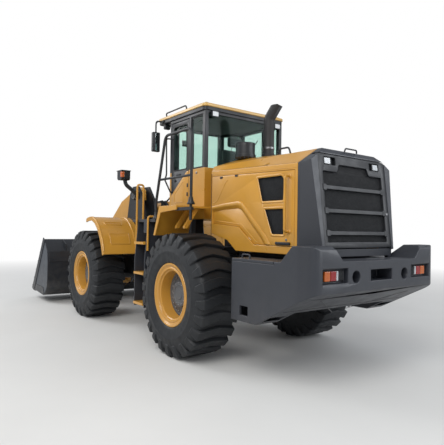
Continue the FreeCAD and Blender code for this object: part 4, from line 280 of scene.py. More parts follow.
YELLOW = paint("body yellow", (206, 150, 54))
RIM_YELLOW = paint("rim yellow", (204, 148, 56), rough=0.38, dust=0.25)
CYLINDER_YELLOW = paint("cylinder yellow", (208, 150, 56), rough=0.4, dust=0.4)
CHARCOAL = paint("charcoal paint", (50, 53, 60), rough=0.45, coat=0.12, lit_and_worn_edge=(110, 112, 116), wear=0.3)
BLACK = paint("black paint", (27, 30, 35), rough=0.48, coat=0.1, lit_and_worn_edge=(86, 86, 88), wear=0.3)
BUCKET_DARK = paint("bucket paint", (32, 35, 41), rough=0.42, coat=0.15, lit_and_worn_edge=(96, 96, 96), wear=0.4, dust=0.2)
RUBBER = rubber("tyre rubber")
GREY_CAST = paint("hub grey", (92, 94, 97), rough=0.55, coat=0.0, lit_and_worn_edge=(130, 130, 130))
MESH_DARK = moulded("vent mesh", (24, 27, 31), 0.6)
PLASTIC = moulded("black plastic", (30, 32, 36), 0.42)
TRIM = moulded("window seal", (20, 21, 24), 0.6)
CHROME = bare_metal("chrome rod", (225, 226, 230), 0.12)
STEEL = bare_metal("pin steel", (150, 150, 152), 0.38)
ALLOY = bare_metal("lamp reflector", (215, 216, 220), 0.25)
GLASS = pane("tinted glass", (240, 252, 248))
AMBER = lens("amber lens", (206, 104, 34))
RED = lens("red lens", (158, 24, 26))
CLEAR = lens("clear lens", (205, 210, 214))
ORANGE = lens("orange lens", (216, 104, 40))
FABRIC = cloth("seat cloth", (34, 35, 38))
ROOF_YELLOW = paint("roof paint", (208, 168, 92), rough=0.36)
PILLAR = paint("pillar paint", (23, 26, 31), rough=0.5, coat=0.12, lit_and_worn_edge=(50, 52, 56), wear=0.2, dust=0.1)
# Painted light: a lighter grey for the bucket's side plates, standing for light on the sides of the dark bucket paint.
LIT_SIDE_GREY = paint("bucket side painted light", (74, 79, 86), rough=0.5, coat=0.08, lit_and_worn_edge=(120, 118, 114), wear=0.5, dust=0.2)
MIRROR = bare_metal("mirror glass", (206, 214, 220), 0.03)
HOSE = rubber("hose rubber", (18, 19, 22), 0.45, 0.05)
EXHAUST = paint("exhaust black", (40, 40, 42), rough=0.6, coat=0.0, lit_and_worn_edge=(88, 74, 62), wear=0.5)


# Mesh helpers

def place_mesh(name, mesh, material, body, replaces=(), bevel=0.0, segments=2, smooth=30):
    """Make an object of a mesh, round its edges, and let it ride on its body."""
    thing = bpy.data.objects.new(name, mesh)
    bpy.context.scene.collection.objects.link(thing)
    if material:
        mesh.materials.append(material)
    if bevel:
        rounder = thing.modifiers.new("edge", "BEVEL")
        rounder.width = bevel
        rounder.segments = segments
        rounder.limit_method = "ANGLE"
        rounder.angle_limit = math.radians(32)
        rounder.harden_normals = True
    if smooth:
        for face in mesh.polygons:
            face.use_smooth = True
        mesh.set_sharp_from_angle(angle=math.radians(smooth))
    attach(thing, body)
    if replaces:
        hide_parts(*replaces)
    return thing


def polygon_mesh(name, points, faces):
    mesh = bpy.data.meshes.new(name)
    mesh.from_pydata([tuple(p) for p in points], [], faces)
    tidy = bmesh.new()
    tidy.from_mesh(mesh)
    bmesh.ops.remove_doubles(tidy, verts=tidy.verts, dist=1e-5)
    bmesh.ops.recalc_face_normals(tidy, faces=tidy.faces)
    tidy.to_mesh(mesh)
    tidy.free()
    return mesh


def prism(name, outline, low, high, axis, material, body, **looks):
    """A plate with an outline in the two other axes (in X, Y, Z order), from low to high along axis."""
    order = {"x": (2, 0, 1), "y": (0, 2, 1), "z": (0, 1, 2)}[axis]
    def corner(point, along):
        triple = (point[0], point[1], along)
        return tuple(triple[i] for i in order)
    count = len(outline)
    points = [corner(p, low) for p in outline] + [corner(p, high) for p in outline]
    faces = [list(range(count)), list(range(2 * count - 1, count - 1, -1))]
    faces += [[i, (i + 1) % count, count + (i + 1) % count, count + i] for i in range(count)]
    return place_mesh(name, polygon_mesh(name, points, faces), material, body, **looks)


def block(name, x, y, z, material, body, bevel=0.004, **looks):
    outline = [(x[0], y[0]), (x[1], y[0]), (x[1], y[1]), (x[0], y[1])]
    return prism(name, outline, z[0], z[1], "z", material, body, bevel=bevel, **looks)


def lathe(name, outline, axis, centre, material, body, turns=64, closed=True, **looks):
    """Turn an outline of (radius, along) about an axis through centre."""
    points, faces = [], []
    count = len(outline)
    for step in range(turns):
        angle = math.tau * step / turns
        for radius, along in outline:
            across, up = radius * math.cos(angle), radius * math.sin(angle)
            offset = {"x": (along, across, up), "y": (across, along, up), "z": (across, up, along)}[axis]
            points.append(tuple(c + o for c, o in zip(centre, offset)))
    last = count if closed else count - 1
    for step in range(turns):
        a, b = step * count, (step + 1) % turns * count
        for i in range(last):
            faces.append([a + i, a + (i + 1) % count, b + (i + 1) % count, b + i])
    return place_mesh(name, polygon_mesh(name, points, faces), material, body, **looks)


def tube(name, points, radius, material, body, bend=0.04, ends=True, sides=14, **looks):
    """A bent bar along straight runs with rounded corners."""
    points = [Vector(p) for p in points]
    path = [points[0]]
    for before, corner, after in zip(points, points[1:], points[2:]):
        back, ahead = (before - corner).normalized(), (after - corner).normalized()
        reach = min(bend, (before - corner).length * 0.48, (after - corner).length * 0.48)
        for step in range(7):
            t = step / 6
            path.append((corner + back * reach) * (1 - t) ** 2 + corner * 2 * t * (1 - t) + (corner + ahead * reach) * t * t)
    path.append(points[-1])
    rings, faces = [], []
    side = None
    for i, point in enumerate(path):
        way = (path[min(i + 1, len(path) - 1)] - path[max(i - 1, 0)]).normalized()
        if side is None:
            side = way.orthogonal().normalized()
        side = (side - way * side.dot(way)).normalized()
        other = way.cross(side)
        rings += [point + side * (radius * math.cos(math.tau * k / sides)) + other * (radius * math.sin(math.tau * k / sides))
                  for k in range(sides)]
    for i in range(len(path) - 1):
        for k in range(sides):
            a, b = i * sides + k, i * sides + (k + 1) % sides
            faces.append([a, b, b + sides, a + sides])
    if ends:
        faces += [list(range(sides)), list(range(len(rings) - sides, len(rings)))]
    return place_mesh(name, polygon_mesh(name, rings, faces), material, body, smooth=50, **looks)


def gather(name, things, replaces=()):
    """Join pieces of one body into one, keeping their materials."""
    for thing in things:
        for modifier in list(thing.modifiers):
            with bpy.context.temp_override(object=thing, active_object=thing, selected_objects=[thing]):
                bpy.ops.object.modifier_apply(modifier=modifier.name)
    with bpy.context.temp_override(active_object=things[0], object=things[0], selected_objects=things,
                                   selected_editable_objects=things):
        bpy.ops.object.join()
    things[0].name = name
    if replaces:
        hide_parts(*replaces)
    return things[0]


def settled(thing):
    """The piece's mesh with its rounding applied."""
    return bpy.data.meshes.new_from_object(thing.evaluated_get(bpy.context.evaluated_depsgraph_get()))


def mirrored(thing, name, body=None, replaces=()):
    """The same piece on the other side, y turned to -y."""
    bpy.context.view_layer.update()
    mesh = settled(thing)
    mesh.transform(Matrix.Scale(-1.0, 4, (0, 1, 0)))
    mesh.flip_normals()
    twin = bpy.data.objects.new(name, mesh)
    bpy.context.scene.collection.objects.link(twin)
    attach(twin, body or thing["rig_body"])
    if replaces:
        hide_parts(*replaces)
    return twin


def both_sides(thing, name, body_right=None, replaces=()):
    """Keep a left piece and add its right twin."""
    mirrored(thing, f"{name}_right", body_right, replaces)
    thing.name = f"{name}_left"


def soften(points, radius, steps=4):
    """Round the corners of a closed outline."""
    made = []
    corners = [Vector(p) for p in points]
    for before, corner, after in zip(corners[-1:] + corners, corners, corners[1:] + corners[:1]):
        back, ahead = before - corner, after - corner
        reach = min(radius, back.length * 0.48, ahead.length * 0.48)
        start, end = corner + back.normalized() * reach, corner + ahead.normalized() * reach
        for step in range(steps + 1):
            t = step / steps
            made.append(start * (1 - t) ** 2 + corner * 2 * t * (1 - t) + end * t * t)
    return [tuple(p) for p in made]


def panel(name, outline, low, high, axis, material, body, holes=(), edge=0.003, **looks):
    """A plate with holes and rounded rims, its outline in the two other axes, from low to high along axis."""
    low, high = sorted((low, high))
    curve = bpy.data.curves.new(name, "CURVE")
    curve.dimensions = "2D"
    curve.fill_mode = "BOTH"
    curve.extrude = (high - low) / 2 - edge
    curve.bevel_depth = edge
    curve.bevel_resolution = 1
    for line in (outline, *holes):
        spline = curve.splines.new("POLY")
        spline.points.add(len(line) - 1)
        for point, (u, v) in zip(spline.points, line):
            point.co = (u, v, 0.0, 1.0)
        spline.use_cyclic_u = True
    thing = bpy.data.objects.new(name, curve)
    bpy.context.scene.collection.objects.link(thing)
    bpy.context.view_layer.update()
    mesh = settled(thing)
    bpy.data.objects.remove(thing)
    bpy.data.curves.remove(curve)
    middle = (low + high) / 2
    turns = {"x": ((0, 0, 1, middle), (1, 0, 0, 0), (0, 1, 0, 0), (0, 0, 0, 1)),
             "y": ((1, 0, 0, 0), (0, 0, 1, middle), (0, 1, 0, 0), (0, 0, 0, 1)),
             "z": ((1, 0, 0, 0), (0, 1, 0, 0), (0, 0, 1, middle), (0, 0, 0, 1))}
    mesh.transform(Matrix(turns[axis]))
    tidy = bmesh.new()
    tidy.from_mesh(mesh)
    bmesh.ops.remove_doubles(tidy, verts=tidy.verts, dist=1e-5)
    bmesh.ops.recalc_face_normals(tidy, faces=tidy.faces)
    tidy.to_mesh(mesh)
    tidy.free()
    mesh.materials.clear()
    return place_mesh(name, mesh, material, body, smooth=looks.pop("smooth", 40), **looks)


def swept(name, line, section, axis, base, material, body, closed=False, out=1, **looks):
    """Carry a section of (sideways, outwards) along a line drawn on the plane axis = base."""
    order = {"x": (2, 0, 1), "y": (0, 2, 1), "z": (0, 1, 2)}[axis]
    line = [Vector(p) for p in line]
    count = len(line)
    rings = []
    for i, point in enumerate(line):
        before = line[i - 1] if closed or i else None
        after = line[(i + 1) % count] if closed or i < count - 1 else None
        ways = [w.normalized() for w in ((point - before) if before else None, (after - point) if after else None) if w]
        sides = [Vector((-w.y, w.x)) for w in ways]
        side = sum(sides, Vector((0, 0))) / len(sides)
        side = side.normalized() / max(0.35, side.length) if side.length > 1e-6 else sides[0]
        for across, height in section:
            flat = point + side * across
            triple = (flat.x, flat.y, base + out * height)
            rings.append(tuple(triple[k] for k in order))
    size = len(section)
    faces = []
    for i in range(count if closed else count - 1):
        a, b = i * size, (i + 1) % count * size
        faces += [[a + k, a + (k + 1) % size, b + (k + 1) % size, b + k] for k in range(size)]
    if not closed:
        faces += [list(range(size)), list(range((count - 1) * size, count * size))]
    return place_mesh(name, polygon_mesh(name, rings, faces), material, body, **looks)


def bead(width, rise):
    """The section of a pressed bead."""
    half = width / 2
    return [(-half, -0.001), (-half * 0.85, rise * 0.55), (-half * 0.4, rise), (half * 0.4, rise), (half * 0.85, rise * 0.55),
            (half, -0.001)]


def mesh_screen(name, outline, depth, axis, material, body, pitch=0.012, bar=0.003):
    """Thin crossed bars that fill a convex outline on the plane axis = depth."""
    order = {"x": (2, 0, 1), "y": (0, 2, 1), "z": (0, 1, 2)}[axis]
    points, faces = [], []

    def crossing(level, along):
        found = []
        for (u0, v0), (u1, v1) in zip(outline, outline[1:] + outline[:1]):
            a, b, c, d = (u0, v0, u1, v1) if along == 0 else (v0, u0, v1, u1)
            if (b - level) * (d - level) < 0:
                found.append(a + (c - a) * (level - b) / (d - b))
        return sorted(found)

    for along in (0, 1):
        levels = [p[1 - along] for p in outline]
        for step in range(1, int((max(levels) - min(levels)) / pitch)):
            level = min(levels) + step * pitch
            ends = crossing(level, along)
            if len(ends) < 2:
                continue
            start = len(points)
            for end in (ends[0], ends[-1]):
                for shift, sink in ((-bar / 2, 0), (0, bar * 0.7), (bar / 2, 0)):
                    pair = (end, level + shift) if along == 0 else (level + shift, end)
                    triple = (pair[0], pair[1], depth + sink * (1 if along else 0.6))
                    points.append(tuple(triple[k] for k in order))
            faces += [[start, start + 1, start + 4, start + 3], [start + 1, start + 2, start + 5, start + 4]]
    return place_mesh(name, polygon_mesh(name, points, faces), material, body, smooth=0)


def bolts(name, places, size, axis, out, body, material=None):
    """Hexagon heads on washers at places, pointing along axis."""
    outline = [(size * 0.25, out * size * 0.85), (size * 0.85, out * size * 0.85), (size, out * size * 0.7),
               (size, out * size * 0.12), (size * 1.45, out * size * 0.12), (size * 1.45, -out * 0.002)]
    heads = [lathe(f"{name}_{i}", outline, axis, place, material or STEEL, body, turns=6 if i >= 0 else 12, closed=False,
                   smooth=0) for i, place in enumerate(places)]
    return gather(name, heads)


def dressed(node, width=0.004, material=None, segments=2, name=None, sharp=30):
    """A copy of a solid's mesh with its flat faces joined and every edge rounded."""
    source = NODES[node]
    mesh = source.data.copy()
    mesh.transform(source.matrix_world)
    mesh.materials.clear()
    tidy = bmesh.new()
    tidy.from_mesh(mesh)
    bmesh.ops.remove_doubles(tidy, verts=tidy.verts, dist=2e-5)
    bmesh.ops.dissolve_limit(tidy, angle_limit=math.radians(0.4), verts=tidy.verts, edges=tidy.edges)
    tidy.to_mesh(mesh)
    tidy.free()
    thing = place_mesh(name or f"{node}_dressed", mesh, material or finish_of(node), BODY_OF[node], (node,), bevel=width,
                       segments=segments, smooth=sharp)
    if width:
        thing.modifiers["edge"].use_clamp_overlap = False
    return thing


# Finish of every carried-over solid

FINISH = {
    "hood_shell": YELLOW, "engine_door": YELLOW, "cab_tub": YELLOW, "cab_roof": ROOF_YELLOW, "rear_fenders": YELLOW,
    "front_fenders": YELLOW, "boom": YELLOW, "bellcrank": YELLOW, "tilt_link": YELLOW, "ladder_rails": YELLOW,
    "ladder_steps": YELLOW, "rim": RIM_YELLOW, "lift_barrels": CYLINDER_YELLOW, "tilt_barrel": CYLINDER_YELLOW,
    "steer_barrel": CYLINDER_YELLOW, "lift_rods": CHROME, "tilt_rod": CHROME, "steer_rod": CHROME, "crank_pin": STEEL,
    "link_pin": STEEL, "bucket_pins": STEEL, "tyre": RUBBER, "cab_glass": GLASS, "cab_door_glass": GLASS,
    "cab_pillars": PILLAR, "tail_lamps": AMBER, "seat": FABRIC, "counterweight": CHARCOAL, "box_lid": CHARCOAL, "grille_housing": CHARCOAL,
    "grille_door": BLACK, "bucket": BUCKET_DARK, "exhaust_stack": EXHAUST, "precleaner": PLASTIC,
    "steering_column": PLASTIC, "mirrors": PLASTIC, "work_lamps": PLASTIC, "front_lamps": PLASTIC,
    "walkways": CHARCOAL,
}
BODY_OF = {node: body for body, members in frame["record"]["behaviour"]["bodies"].items() for node in members}
RX = REAR


def finish_of(node):
    known = [key for key in FINISH if node.startswith(key)]
    return FINISH[max(known, key=len)] if known else BLACK


for name, thing in NODES.items():
    thing.data.materials.clear()
    thing.data.materials.append(finish_of(name))

ROUNDED = {
    "counterweight": 0.010, "hood_shell": 0.007, "grille_housing": 0.007, "cab_tub": 0.005, "cab_pillars": 0.006,
    "rear_fenders": 0.005, "front_fenders": 0.005, "walkways": 0.004,
    "ladder_steps": 0.003, "box_lid_left": 0.005, "box_lid_right": 0.005, "boom": 0.006, "bucket": 0.005,
    "bellcrank": 0.005, "tilt_link": 0.004, "front_frame": 0.005, "rear_frame": 0.005, "mirrors": 0.012,
    "platform_rails": 0.0, "ladder_rails": 0.0, "lift_barrels": 0.003,
    "tilt_barrel": 0.003, "steer_barrel_left": 0.002, "steer_barrel_right": 0.002, "rear_axle": 0.004,
    "front_axle": 0.004, "power_train": 0.006, "precleaner": 0.004, "exhaust_stack": 0.0, "steering_column": 0.004,
}
DRESSED = {node: dressed(node, width) for node, width in ROUNDED.items()}


# Wheels: one of each is shaped at the middle of its axle line, then copied to the four places

LUGS = 24
# Half of a lug: across, top radius, lead over the ground, half width, base radius
LUG = ((0.0, 0.800, 0.034, 0.052, 0.752), (0.13, 0.7995, 0.008, 0.055, 0.752), (0.235, 0.798, -0.022, 0.060, 0.750),
       (0.262, 0.792, -0.028, 0.060, 0.742), (0.283, 0.735, -0.030, 0.052, 0.690), (0.296, 0.650, -0.030, 0.040, 0.626))
SIDE = ((0.332, 0.232), (0.345, 0.243), (0.402, 0.249), (0.412, 0.256), (0.420, 0.270), (0.436, 0.277), (0.452, 0.282),
        (0.50, 0.292), (0.545, 0.2955), (0.553, 0.2985), (0.566, 0.2985), (0.574, 0.2955), (0.62, 0.290), (0.67, 0.279),
        (0.715, 0.262), (0.745, 0.238), (0.757, 0.20), (0.757, 0.08), (0.757, 0.0))


def tyre_mesh():
    """A round carcass with its ring lines, and lugs that lead forward in the middle."""
    outline = list(SIDE) + [(r, -y) for r, y in reversed(SIDE[:-1])]
    carcass = lathe("tyre_carcass", outline, "y", (0, 0, 0), RUBBER, "wheel_rear_left", turns=96, smooth=40)
    points, faces = [], []
    stations = [(-y, *rest) for y, *rest in reversed(LUG[1:])] + list(LUG)

    def spot(radius, across, angle):
        return (radius * math.sin(angle), across, radius * math.cos(angle))

    for i in range(LUGS):
        middle = math.tau * i / LUGS
        start = len(points)
        for across, top, lead, half, low in stations:
            inner = across * (0.93 if abs(across) > 0.25 else 1.0)
            for radius, place, wide in ((low, inner, half * 1.22), (top, across, half)):
                for edge in (-1, 1):
                    points.append(spot(radius, place, middle + (lead + edge * wide) / 0.8))
        for step in range(len(stations) - 1):
            a, b = start + 4 * step, start + 4 * step + 4
            faces += [[a + 2, a + 3, b + 3, b + 2], [a, a + 2, b + 2, b], [a + 1, a + 3, b + 3, b + 1], [a, a + 1, b + 1, b]]
        last = start + 4 * (len(stations) - 1)
        faces += [[start, start + 1, start + 3, start + 2], [last, last + 1, last + 3, last + 2]]
    lugs = place_mesh("tyre_lugs", polygon_mesh("tyre_lugs", points, faces), RUBBER, "wheel_rear_left", bevel=0.009,
                      segments=2, smooth=35)
    return gather("tyre_pattern", [carcass, lugs])


def rim_mesh():
    """The barrel with its double lip, the disc, the hub and their bolts."""
    rim = [(0.298, 0.055), (0.298, -0.225), (0.318, -0.238), (0.328, -0.246), (0.392, -0.27), (0.404, -0.271), (0.411, -0.266),
           (0.411, -0.251), (0.402, -0.2505), (0.331, -0.234), (0.331, 0.234), (0.402, 0.2505), (0.411, 0.251), (0.411, 0.264),
           (0.406, 0.270), (0.396, 0.2715), (0.386, 0.268), (0.380, 0.260), (0.356, 0.250), (0.350, 0.254), (0.342, 0.2565),
           (0.333, 0.255), (0.326, 0.246), (0.322, 0.232), (0.308, 0.222), (0.304, 0.20), (0.302, 0.12), (0.300, 0.085)]
    pieces = [lathe("rim_barrel", rim, "y", (0, 0, 0), RIM_YELLOW, "wheel_rear_left", turns=96, smooth=35)]
    disc = [(0.299, 0.055), (0.299, 0.083), (0.285, 0.085), (0.27, 0.085), (0.262, 0.079), (0.225, 0.079), (0.215, 0.085),
            (0.20, 0.088), (0.175, 0.088), (0.168, 0.093), (0.166, 0.126), (0.16, 0.13), (0.115, 0.13), (0.108, 0.122),
            (0.075, 0.122), (0.068, 0.129), (0.0005, 0.13), (0.0005, 0.09), (0.11, 0.09), (0.11, 0.055)]
    pieces.append(lathe("rim_disc", disc, "y", (0, 0, 0), GREY_CAST, "wheel_rear_left", turns=72, smooth=35))
    for ring, base, count, size in ((0.243, 0.079, 20, 0.013), (0.138, 0.129, 12, 0.009)):
        places = [(ring * math.cos(math.tau * k / count), base, ring * math.sin(math.tau * k / count)) for k in range(count)]
        pieces.append(bolts(f"rim_bolts_{count}", places, size, "y", 1, "wheel_rear_left"))
    return gather("rim_pattern", pieces)


for kind, pattern in (("tyre", tyre_mesh()), ("rim", rim_mesh())):
    shape = pattern.data.copy()
    bpy.data.objects.remove(pattern)
    for end, axle in (("rear", REAR), ("front", FRONT)):
        for side, sign in SIDES:
            mesh = shape.copy()
            if sign < 0:
                mesh.transform(Matrix.Scale(-1.0, 4, (0, 1, 0)))
                mesh.flip_normals()
            mesh.transform(Matrix.Translation((axle, sign * TRACK, AXLE)))
            place_mesh(f"{kind}_dressed_{end}_{side}", mesh, None, f"wheel_{end}_{side}", (f"{kind}_{end}_{side}",), smooth=0)


# Engine doors: a pressed plate with two framed vents, the arch band and a grab bar

HOOD = 0.775
BAND_STEP = 0.024
VENTS = (
    ((RX - 1.000, 2.292), (RX - 1.452, 2.292), (RX - 1.500, 2.225), (RX - 1.484, 1.969), (RX - 1.097, 1.969)),
    ((RX - 1.128, 1.920), (RX - 1.486, 1.920), (RX - 1.498, 1.587), (RX - 1.270, 1.587)),
)


def grown(points, margin):
    """A convex outline moved outwards by a margin."""
    middle = Vector((sum(p[0] for p in points) / len(points), sum(p[1] for p in points) / len(points)))
    made = []
    count = len(points)
    for i in range(count):
        before, corner, after = (Vector(points[(i + k) % count]) for k in (-1, 0, 1))
        way_in, way_out = (corner - before).normalized(), (after - corner).normalized()
        first, second = Vector((-way_in.y, way_in.x)), Vector((-way_out.y, way_out.x))
        if first.dot(corner - middle) < 0:
            first, second = -first, -second
        turn = (first + second).normalized()
        made.append(tuple(corner + turn * margin / max(0.3, turn.dot(first))))
    return made


def engine_door():
    body = "engine_door_left"
    upper = [(RX - 0.1003, 1.945), (RX - 0.386, 1.975), (RX - 0.652, 1.992), (RX - 0.730, 1.978), (RX - 1.150, 1.590),
             (RX - 1.225, 1.486), (RX - 1.634, 1.486), (RX - 1.634, 2.311), (RX - 0.1003, 2.364)]
    lower = [(RX - 0.1003, 1.743), (RX - 0.674, 1.696), (RX - 0.960, 1.486), (RX - 1.195, 1.486), (RX - 1.125, 1.580),
             (RX - 0.735, 1.945), (RX - 0.655, 1.965), (RX - 0.388, 1.956), (RX - 0.1003, 1.930)]
    holes = [soften(vent, 0.035) for vent in VENTS]
    pieces = [panel("door_plate", upper, 0.747, HOOD, "y", YELLOW, body, holes=holes, edge=0.003),
              panel("door_plate_low", lower, 0.728, HOOD - BAND_STEP, "y", YELLOW, body, edge=0.003)]
    for i, vent in enumerate(VENTS):
        rim = soften(vent, 0.035)
        pieces.append(swept(f"door_vent_rim_{i}", rim, [(-0.004, -0.020), (-0.004, 0.004), (0.002, 0.008), (0.016, 0.008),
                                                         (0.024, -0.001)], "y", HOOD, YELLOW, body, closed=True, smooth=50))
        pieces.append(panel(f"door_vent_back_{i}", grown(vent, 0.012), 0.7455, 0.7485, "y", MESH_DARK, body, edge=0.001))
        pieces.append(mesh_screen(f"door_vent_mesh_{i}", list(vent), 0.7525, "y", MESH_DARK, body))
    top = [(RX - 0.104, 1.968), (RX - 0.386, 1.998), (RX - 0.656, 2.015), (RX - 0.742, 2.003), (RX - 1.180, 1.600),
           (RX - 1.262, 1.492)]
    low = [(RX - 0.104, 1.892), (RX - 0.388, 1.916), (RX - 0.640, 1.922), (RX - 0.705, 1.900), (RX - 1.070, 1.560),
           (RX - 1.125, 1.492)]
    levels = ((0.0, -0.001), (0.06, 0.009), (0.15, 0.0125), (0.45, 0.0125), (0.52, 0.009), (0.97, -BAND_STEP + 0.004),
              (1.0, -BAND_STEP - 0.002))
    points = [(a[0] + (b[0] - a[0]) * share, HOOD + rise, a[1] + (b[1] - a[1]) * share)
              for a, b in zip(top, low) for share, rise in levels]
    size = len(levels)
    faces = [[i * size + k, i * size + k + 1, (i + 1) * size + k + 1, (i + 1) * size + k]
             for i in range(len(top) - 1) for k in range(size - 1)]
    faces += [list(range(size)), list(range(len(points) - size, len(points)))]
    pieces.append(place_mesh("door_band", polygon_mesh("door_band", points, faces), YELLOW, body, smooth=35))
    pieces.append(swept("door_line", [(RX - 0.44, 2.300), (RX - 0.388, 2.270), (RX - 0.215, 2.035), (RX - 0.125, 2.005)],
                        bead(0.016, 0.004), "y", HOOD, YELLOW, body, smooth=60))
    pieces.append(swept("door_line_low", [(RX - 1.03, 1.505), (RX - 0.985, 1.515), (RX - 0.70, 1.722), (RX - 0.13, 1.772)],
                        bead(0.016, 0.004), "y", HOOD - BAND_STEP, YELLOW, body, smooth=60))
    grip = [(RX - 1.560, HOOD - 0.004, 1.640), (RX - 1.560, HOOD + 0.070, 1.640), (RX - 1.560, HOOD + 0.070, 2.250),
            (RX - 1.560, HOOD - 0.004, 2.250)]
    pieces.append(tube("door_grip", grip, 0.0145, YELLOW, body, bend=0.06))
    pieces += [lathe(f"door_grip_foot_{i}", [(0.0005, 0.008), (0.022, 0.008), (0.026, 0.004), (0.026, -0.002)], "y",
                     (RX - 1.560, HOOD, z), YELLOW, body, turns=20, closed=False) for i, z in enumerate((1.640, 2.250))]
    pieces.append(block("door_latch", (RX - 1.59, RX - 1.36), (HOOD, HOOD + 0.026), (1.492, 1.526), BLACK, body,
                        bevel=0.011, segments=3))
    pieces.append(lathe("door_lock", [(0.0005, 0.006), (0.010, 0.006), (0.014, 0.004), (0.016, -0.002)], "y",
                        (RX - 1.52, HOOD, 1.55), STEEL, body, turns=20, closed=False))
    for i, x in enumerate((RX - 0.30, RX - 0.62)):
        pieces.append(block(f"door_hinge_{i}", (x - 0.028, x + 0.028), (HOOD, HOOD + 0.006), (2.325, 2.350), BLACK, body,
                            bevel=0.002))
    return gather("engine_door_left_dressed", pieces, ["engine_door_left"])


both_sides(engine_door(), "engine_door_dressed", "engine_door_right", ["engine_door_right"])


# Grille: a leaning frame with three square-ended bars in front of a fine mesh

LEAN = (1.925 - 1.800) / (2.515 - 1.450)


def leaned(thing):
    """Lean a piece, drawn upright at the foot of the grille, into the grille's plane."""
    shear = Matrix(((1, 0, LEAN, -LEAN * 1.450), (0, 1, 0, 0), (0, 0, 1, 0), (0, 0, 0, 1)))
    thing.data.transform(shear)
    return thing


def grille():
    body = "grille_door"
    foot = RX - 1.925
    half, low, high = 0.600, 1.475, 2.500
    ring = soften([(-half, low), (half, low), (half, high), (-half, high)], 0.02)
    notch = soften([(-0.535, 1.530), (0.535, 1.530), (0.535, 2.318), (0.290, 2.318), (0.252, 2.405), (-0.252, 2.405),
                    (-0.290, 2.318), (-0.535, 2.318)], 0.018)
    recesses = [soften([(s * a, z0) for a, z0 in ((0.300, 2.382), (0.300, 2.478), (0.500, 2.478), (0.500, 2.382))], 0.018)
                for s in (-1, 1)]
    pieces = [leaned(panel("grille_frame", ring, foot + 0.008, foot + 0.040, "x", BLACK, body, holes=[notch, *recesses],
                           edge=0.005))]
    pieces.append(leaned(block("grille_back", (foot + 0.046, foot + 0.059), (-0.590, 0.590), (1.485, 2.490), MESH_DARK, body,
                               bevel=0.001)))
    screen = [(-0.54, 1.525), (0.54, 1.525), (0.54, 2.325), (-0.54, 2.325)]
    pieces.append(leaned(mesh_screen("grille_mesh", screen, foot + 0.030, "x", BLACK, body, pitch=0.014, bar=0.004)))
    upper = [(-0.284, 2.325), (0.284, 2.325), (0.248, 2.41), (-0.248, 2.41)]
    pieces.append(leaned(mesh_screen("grille_mesh_top", upper, foot + 0.030, "x", BLACK, body, pitch=0.014, bar=0.004)))
    for side in (-1, 1):
        ys = sorted((side * 0.378, side * 0.490))
        pieces.append(leaned(block(f"grille_lamp_{side}", (foot + 0.020, foot + 0.046), ys, (2.390, 2.472), PLASTIC, body,
                                   bevel=0.008)))
        ys = sorted((side * 0.386, side * 0.482))
        pieces.append(leaned(block(f"grille_bowl_{side}", (foot + 0.0185, foot + 0.030), ys, (2.398, 2.464), ALLOY, body,
                                   bevel=0.006)))
        pieces.append(leaned(block(f"grille_lens_{side}", (foot + 0.013, foot + 0.018), ys, (2.398, 2.464), CLEAR, body,
                                   bevel=0.004, segments=3)))
    for i, level in enumerate((1.635, 1.878, 2.135)):
        pieces.append(leaned(block(f"grille_bar_{i}", (foot + 0.004, foot + 0.032), (-0.540, 0.540),
                                   (level - 0.022, level + 0.022), BLACK, body, bevel=0.005)))
        for end in (-1, 1):
            ys = sorted((end * 0.490, end * 0.548))
            pieces.append(leaned(block(f"grille_bar_end_{i}_{end}", (foot + 0.0005, foot + 0.034), ys,
                                       (level - 0.034, level + 0.034), BLACK, body, bevel=0.005)))
    pieces.append(leaned(lathe("grille_knob", [(0.0005, -0.004), (0.014, -0.004), (0.018, 0.001), (0.018, 0.012)], "x",
                               (foot + 0.004, -0.570, 1.87), STEEL, body, turns=20, closed=False)))
    return gather("grille_door_dressed", pieces, ["grille_door"])


grille()


# Tail lamps: amber outside, red next to it, a clear strip and a ribbed block inside, in a dark tray

def tail_lamp():
    back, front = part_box("tail_lamps")[0].x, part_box("tail_lamps")[1].x
    body = "rear_frame"
    low, high = 1.160, 1.260
    parts = [block("tail_tray", (front - 0.012, front), (0.600, 0.900), (1.154, 1.266), PLASTIC, body, bevel=0.004)]
    for i, (inner, outer, finish) in enumerate(((0.688, 0.716, CLEAR), (0.720, 0.806, RED), (0.810, 0.896, AMBER))):
        parts.append(block(f"tail_lens_{i}", (back, front - 0.008), (inner, outer), (low, high), finish, body, bevel=0.009,
                           segments=3))
    for i in range(5):
        y = 0.606 + 0.016 * i
        parts.append(block(f"tail_rib_{i}", (back + 0.006, front - 0.008), (y, y + 0.010), (low + 0.006, high - 0.006),
                           PLASTIC, body, bevel=0.002))
    return gather("tail_lamp", parts, ["tail_lamps"])


both_sides(tail_lamp(), "tail_lamp")


# Cab: a dark fascia under the roof cap, the door in two colours, mirrors, roof lamps, rails and what is inside

def stacked(name, outline, levels, material, body, replaces=(), smooth=35):
    """Close a form from one outline drawn at several (height, inset) levels."""
    rings = [[(x, y, height) for x, y in (grown(outline, -inset) if inset else outline)] for height, inset in levels]
    count = len(outline)
    points = [p for ring in rings for p in ring]
    faces = [list(range(count)), list(range(len(points) - count, len(points)))]
    faces += [[r * count + i, r * count + (i + 1) % count, (r + 1) * count + (i + 1) % count, (r + 1) * count + i]
              for r in range(len(rings) - 1) for i in range(count)]
    return place_mesh(name, polygon_mesh(name, points, faces), material, body, replaces, smooth=smooth)


def rectangle(x0, x1, y0, y1, radius=0.0, steps=5):
    outline = [(x0, y0), (x1, y0), (x1, y1), (x0, y1)]
    return soften(outline, radius, steps) if radius else outline


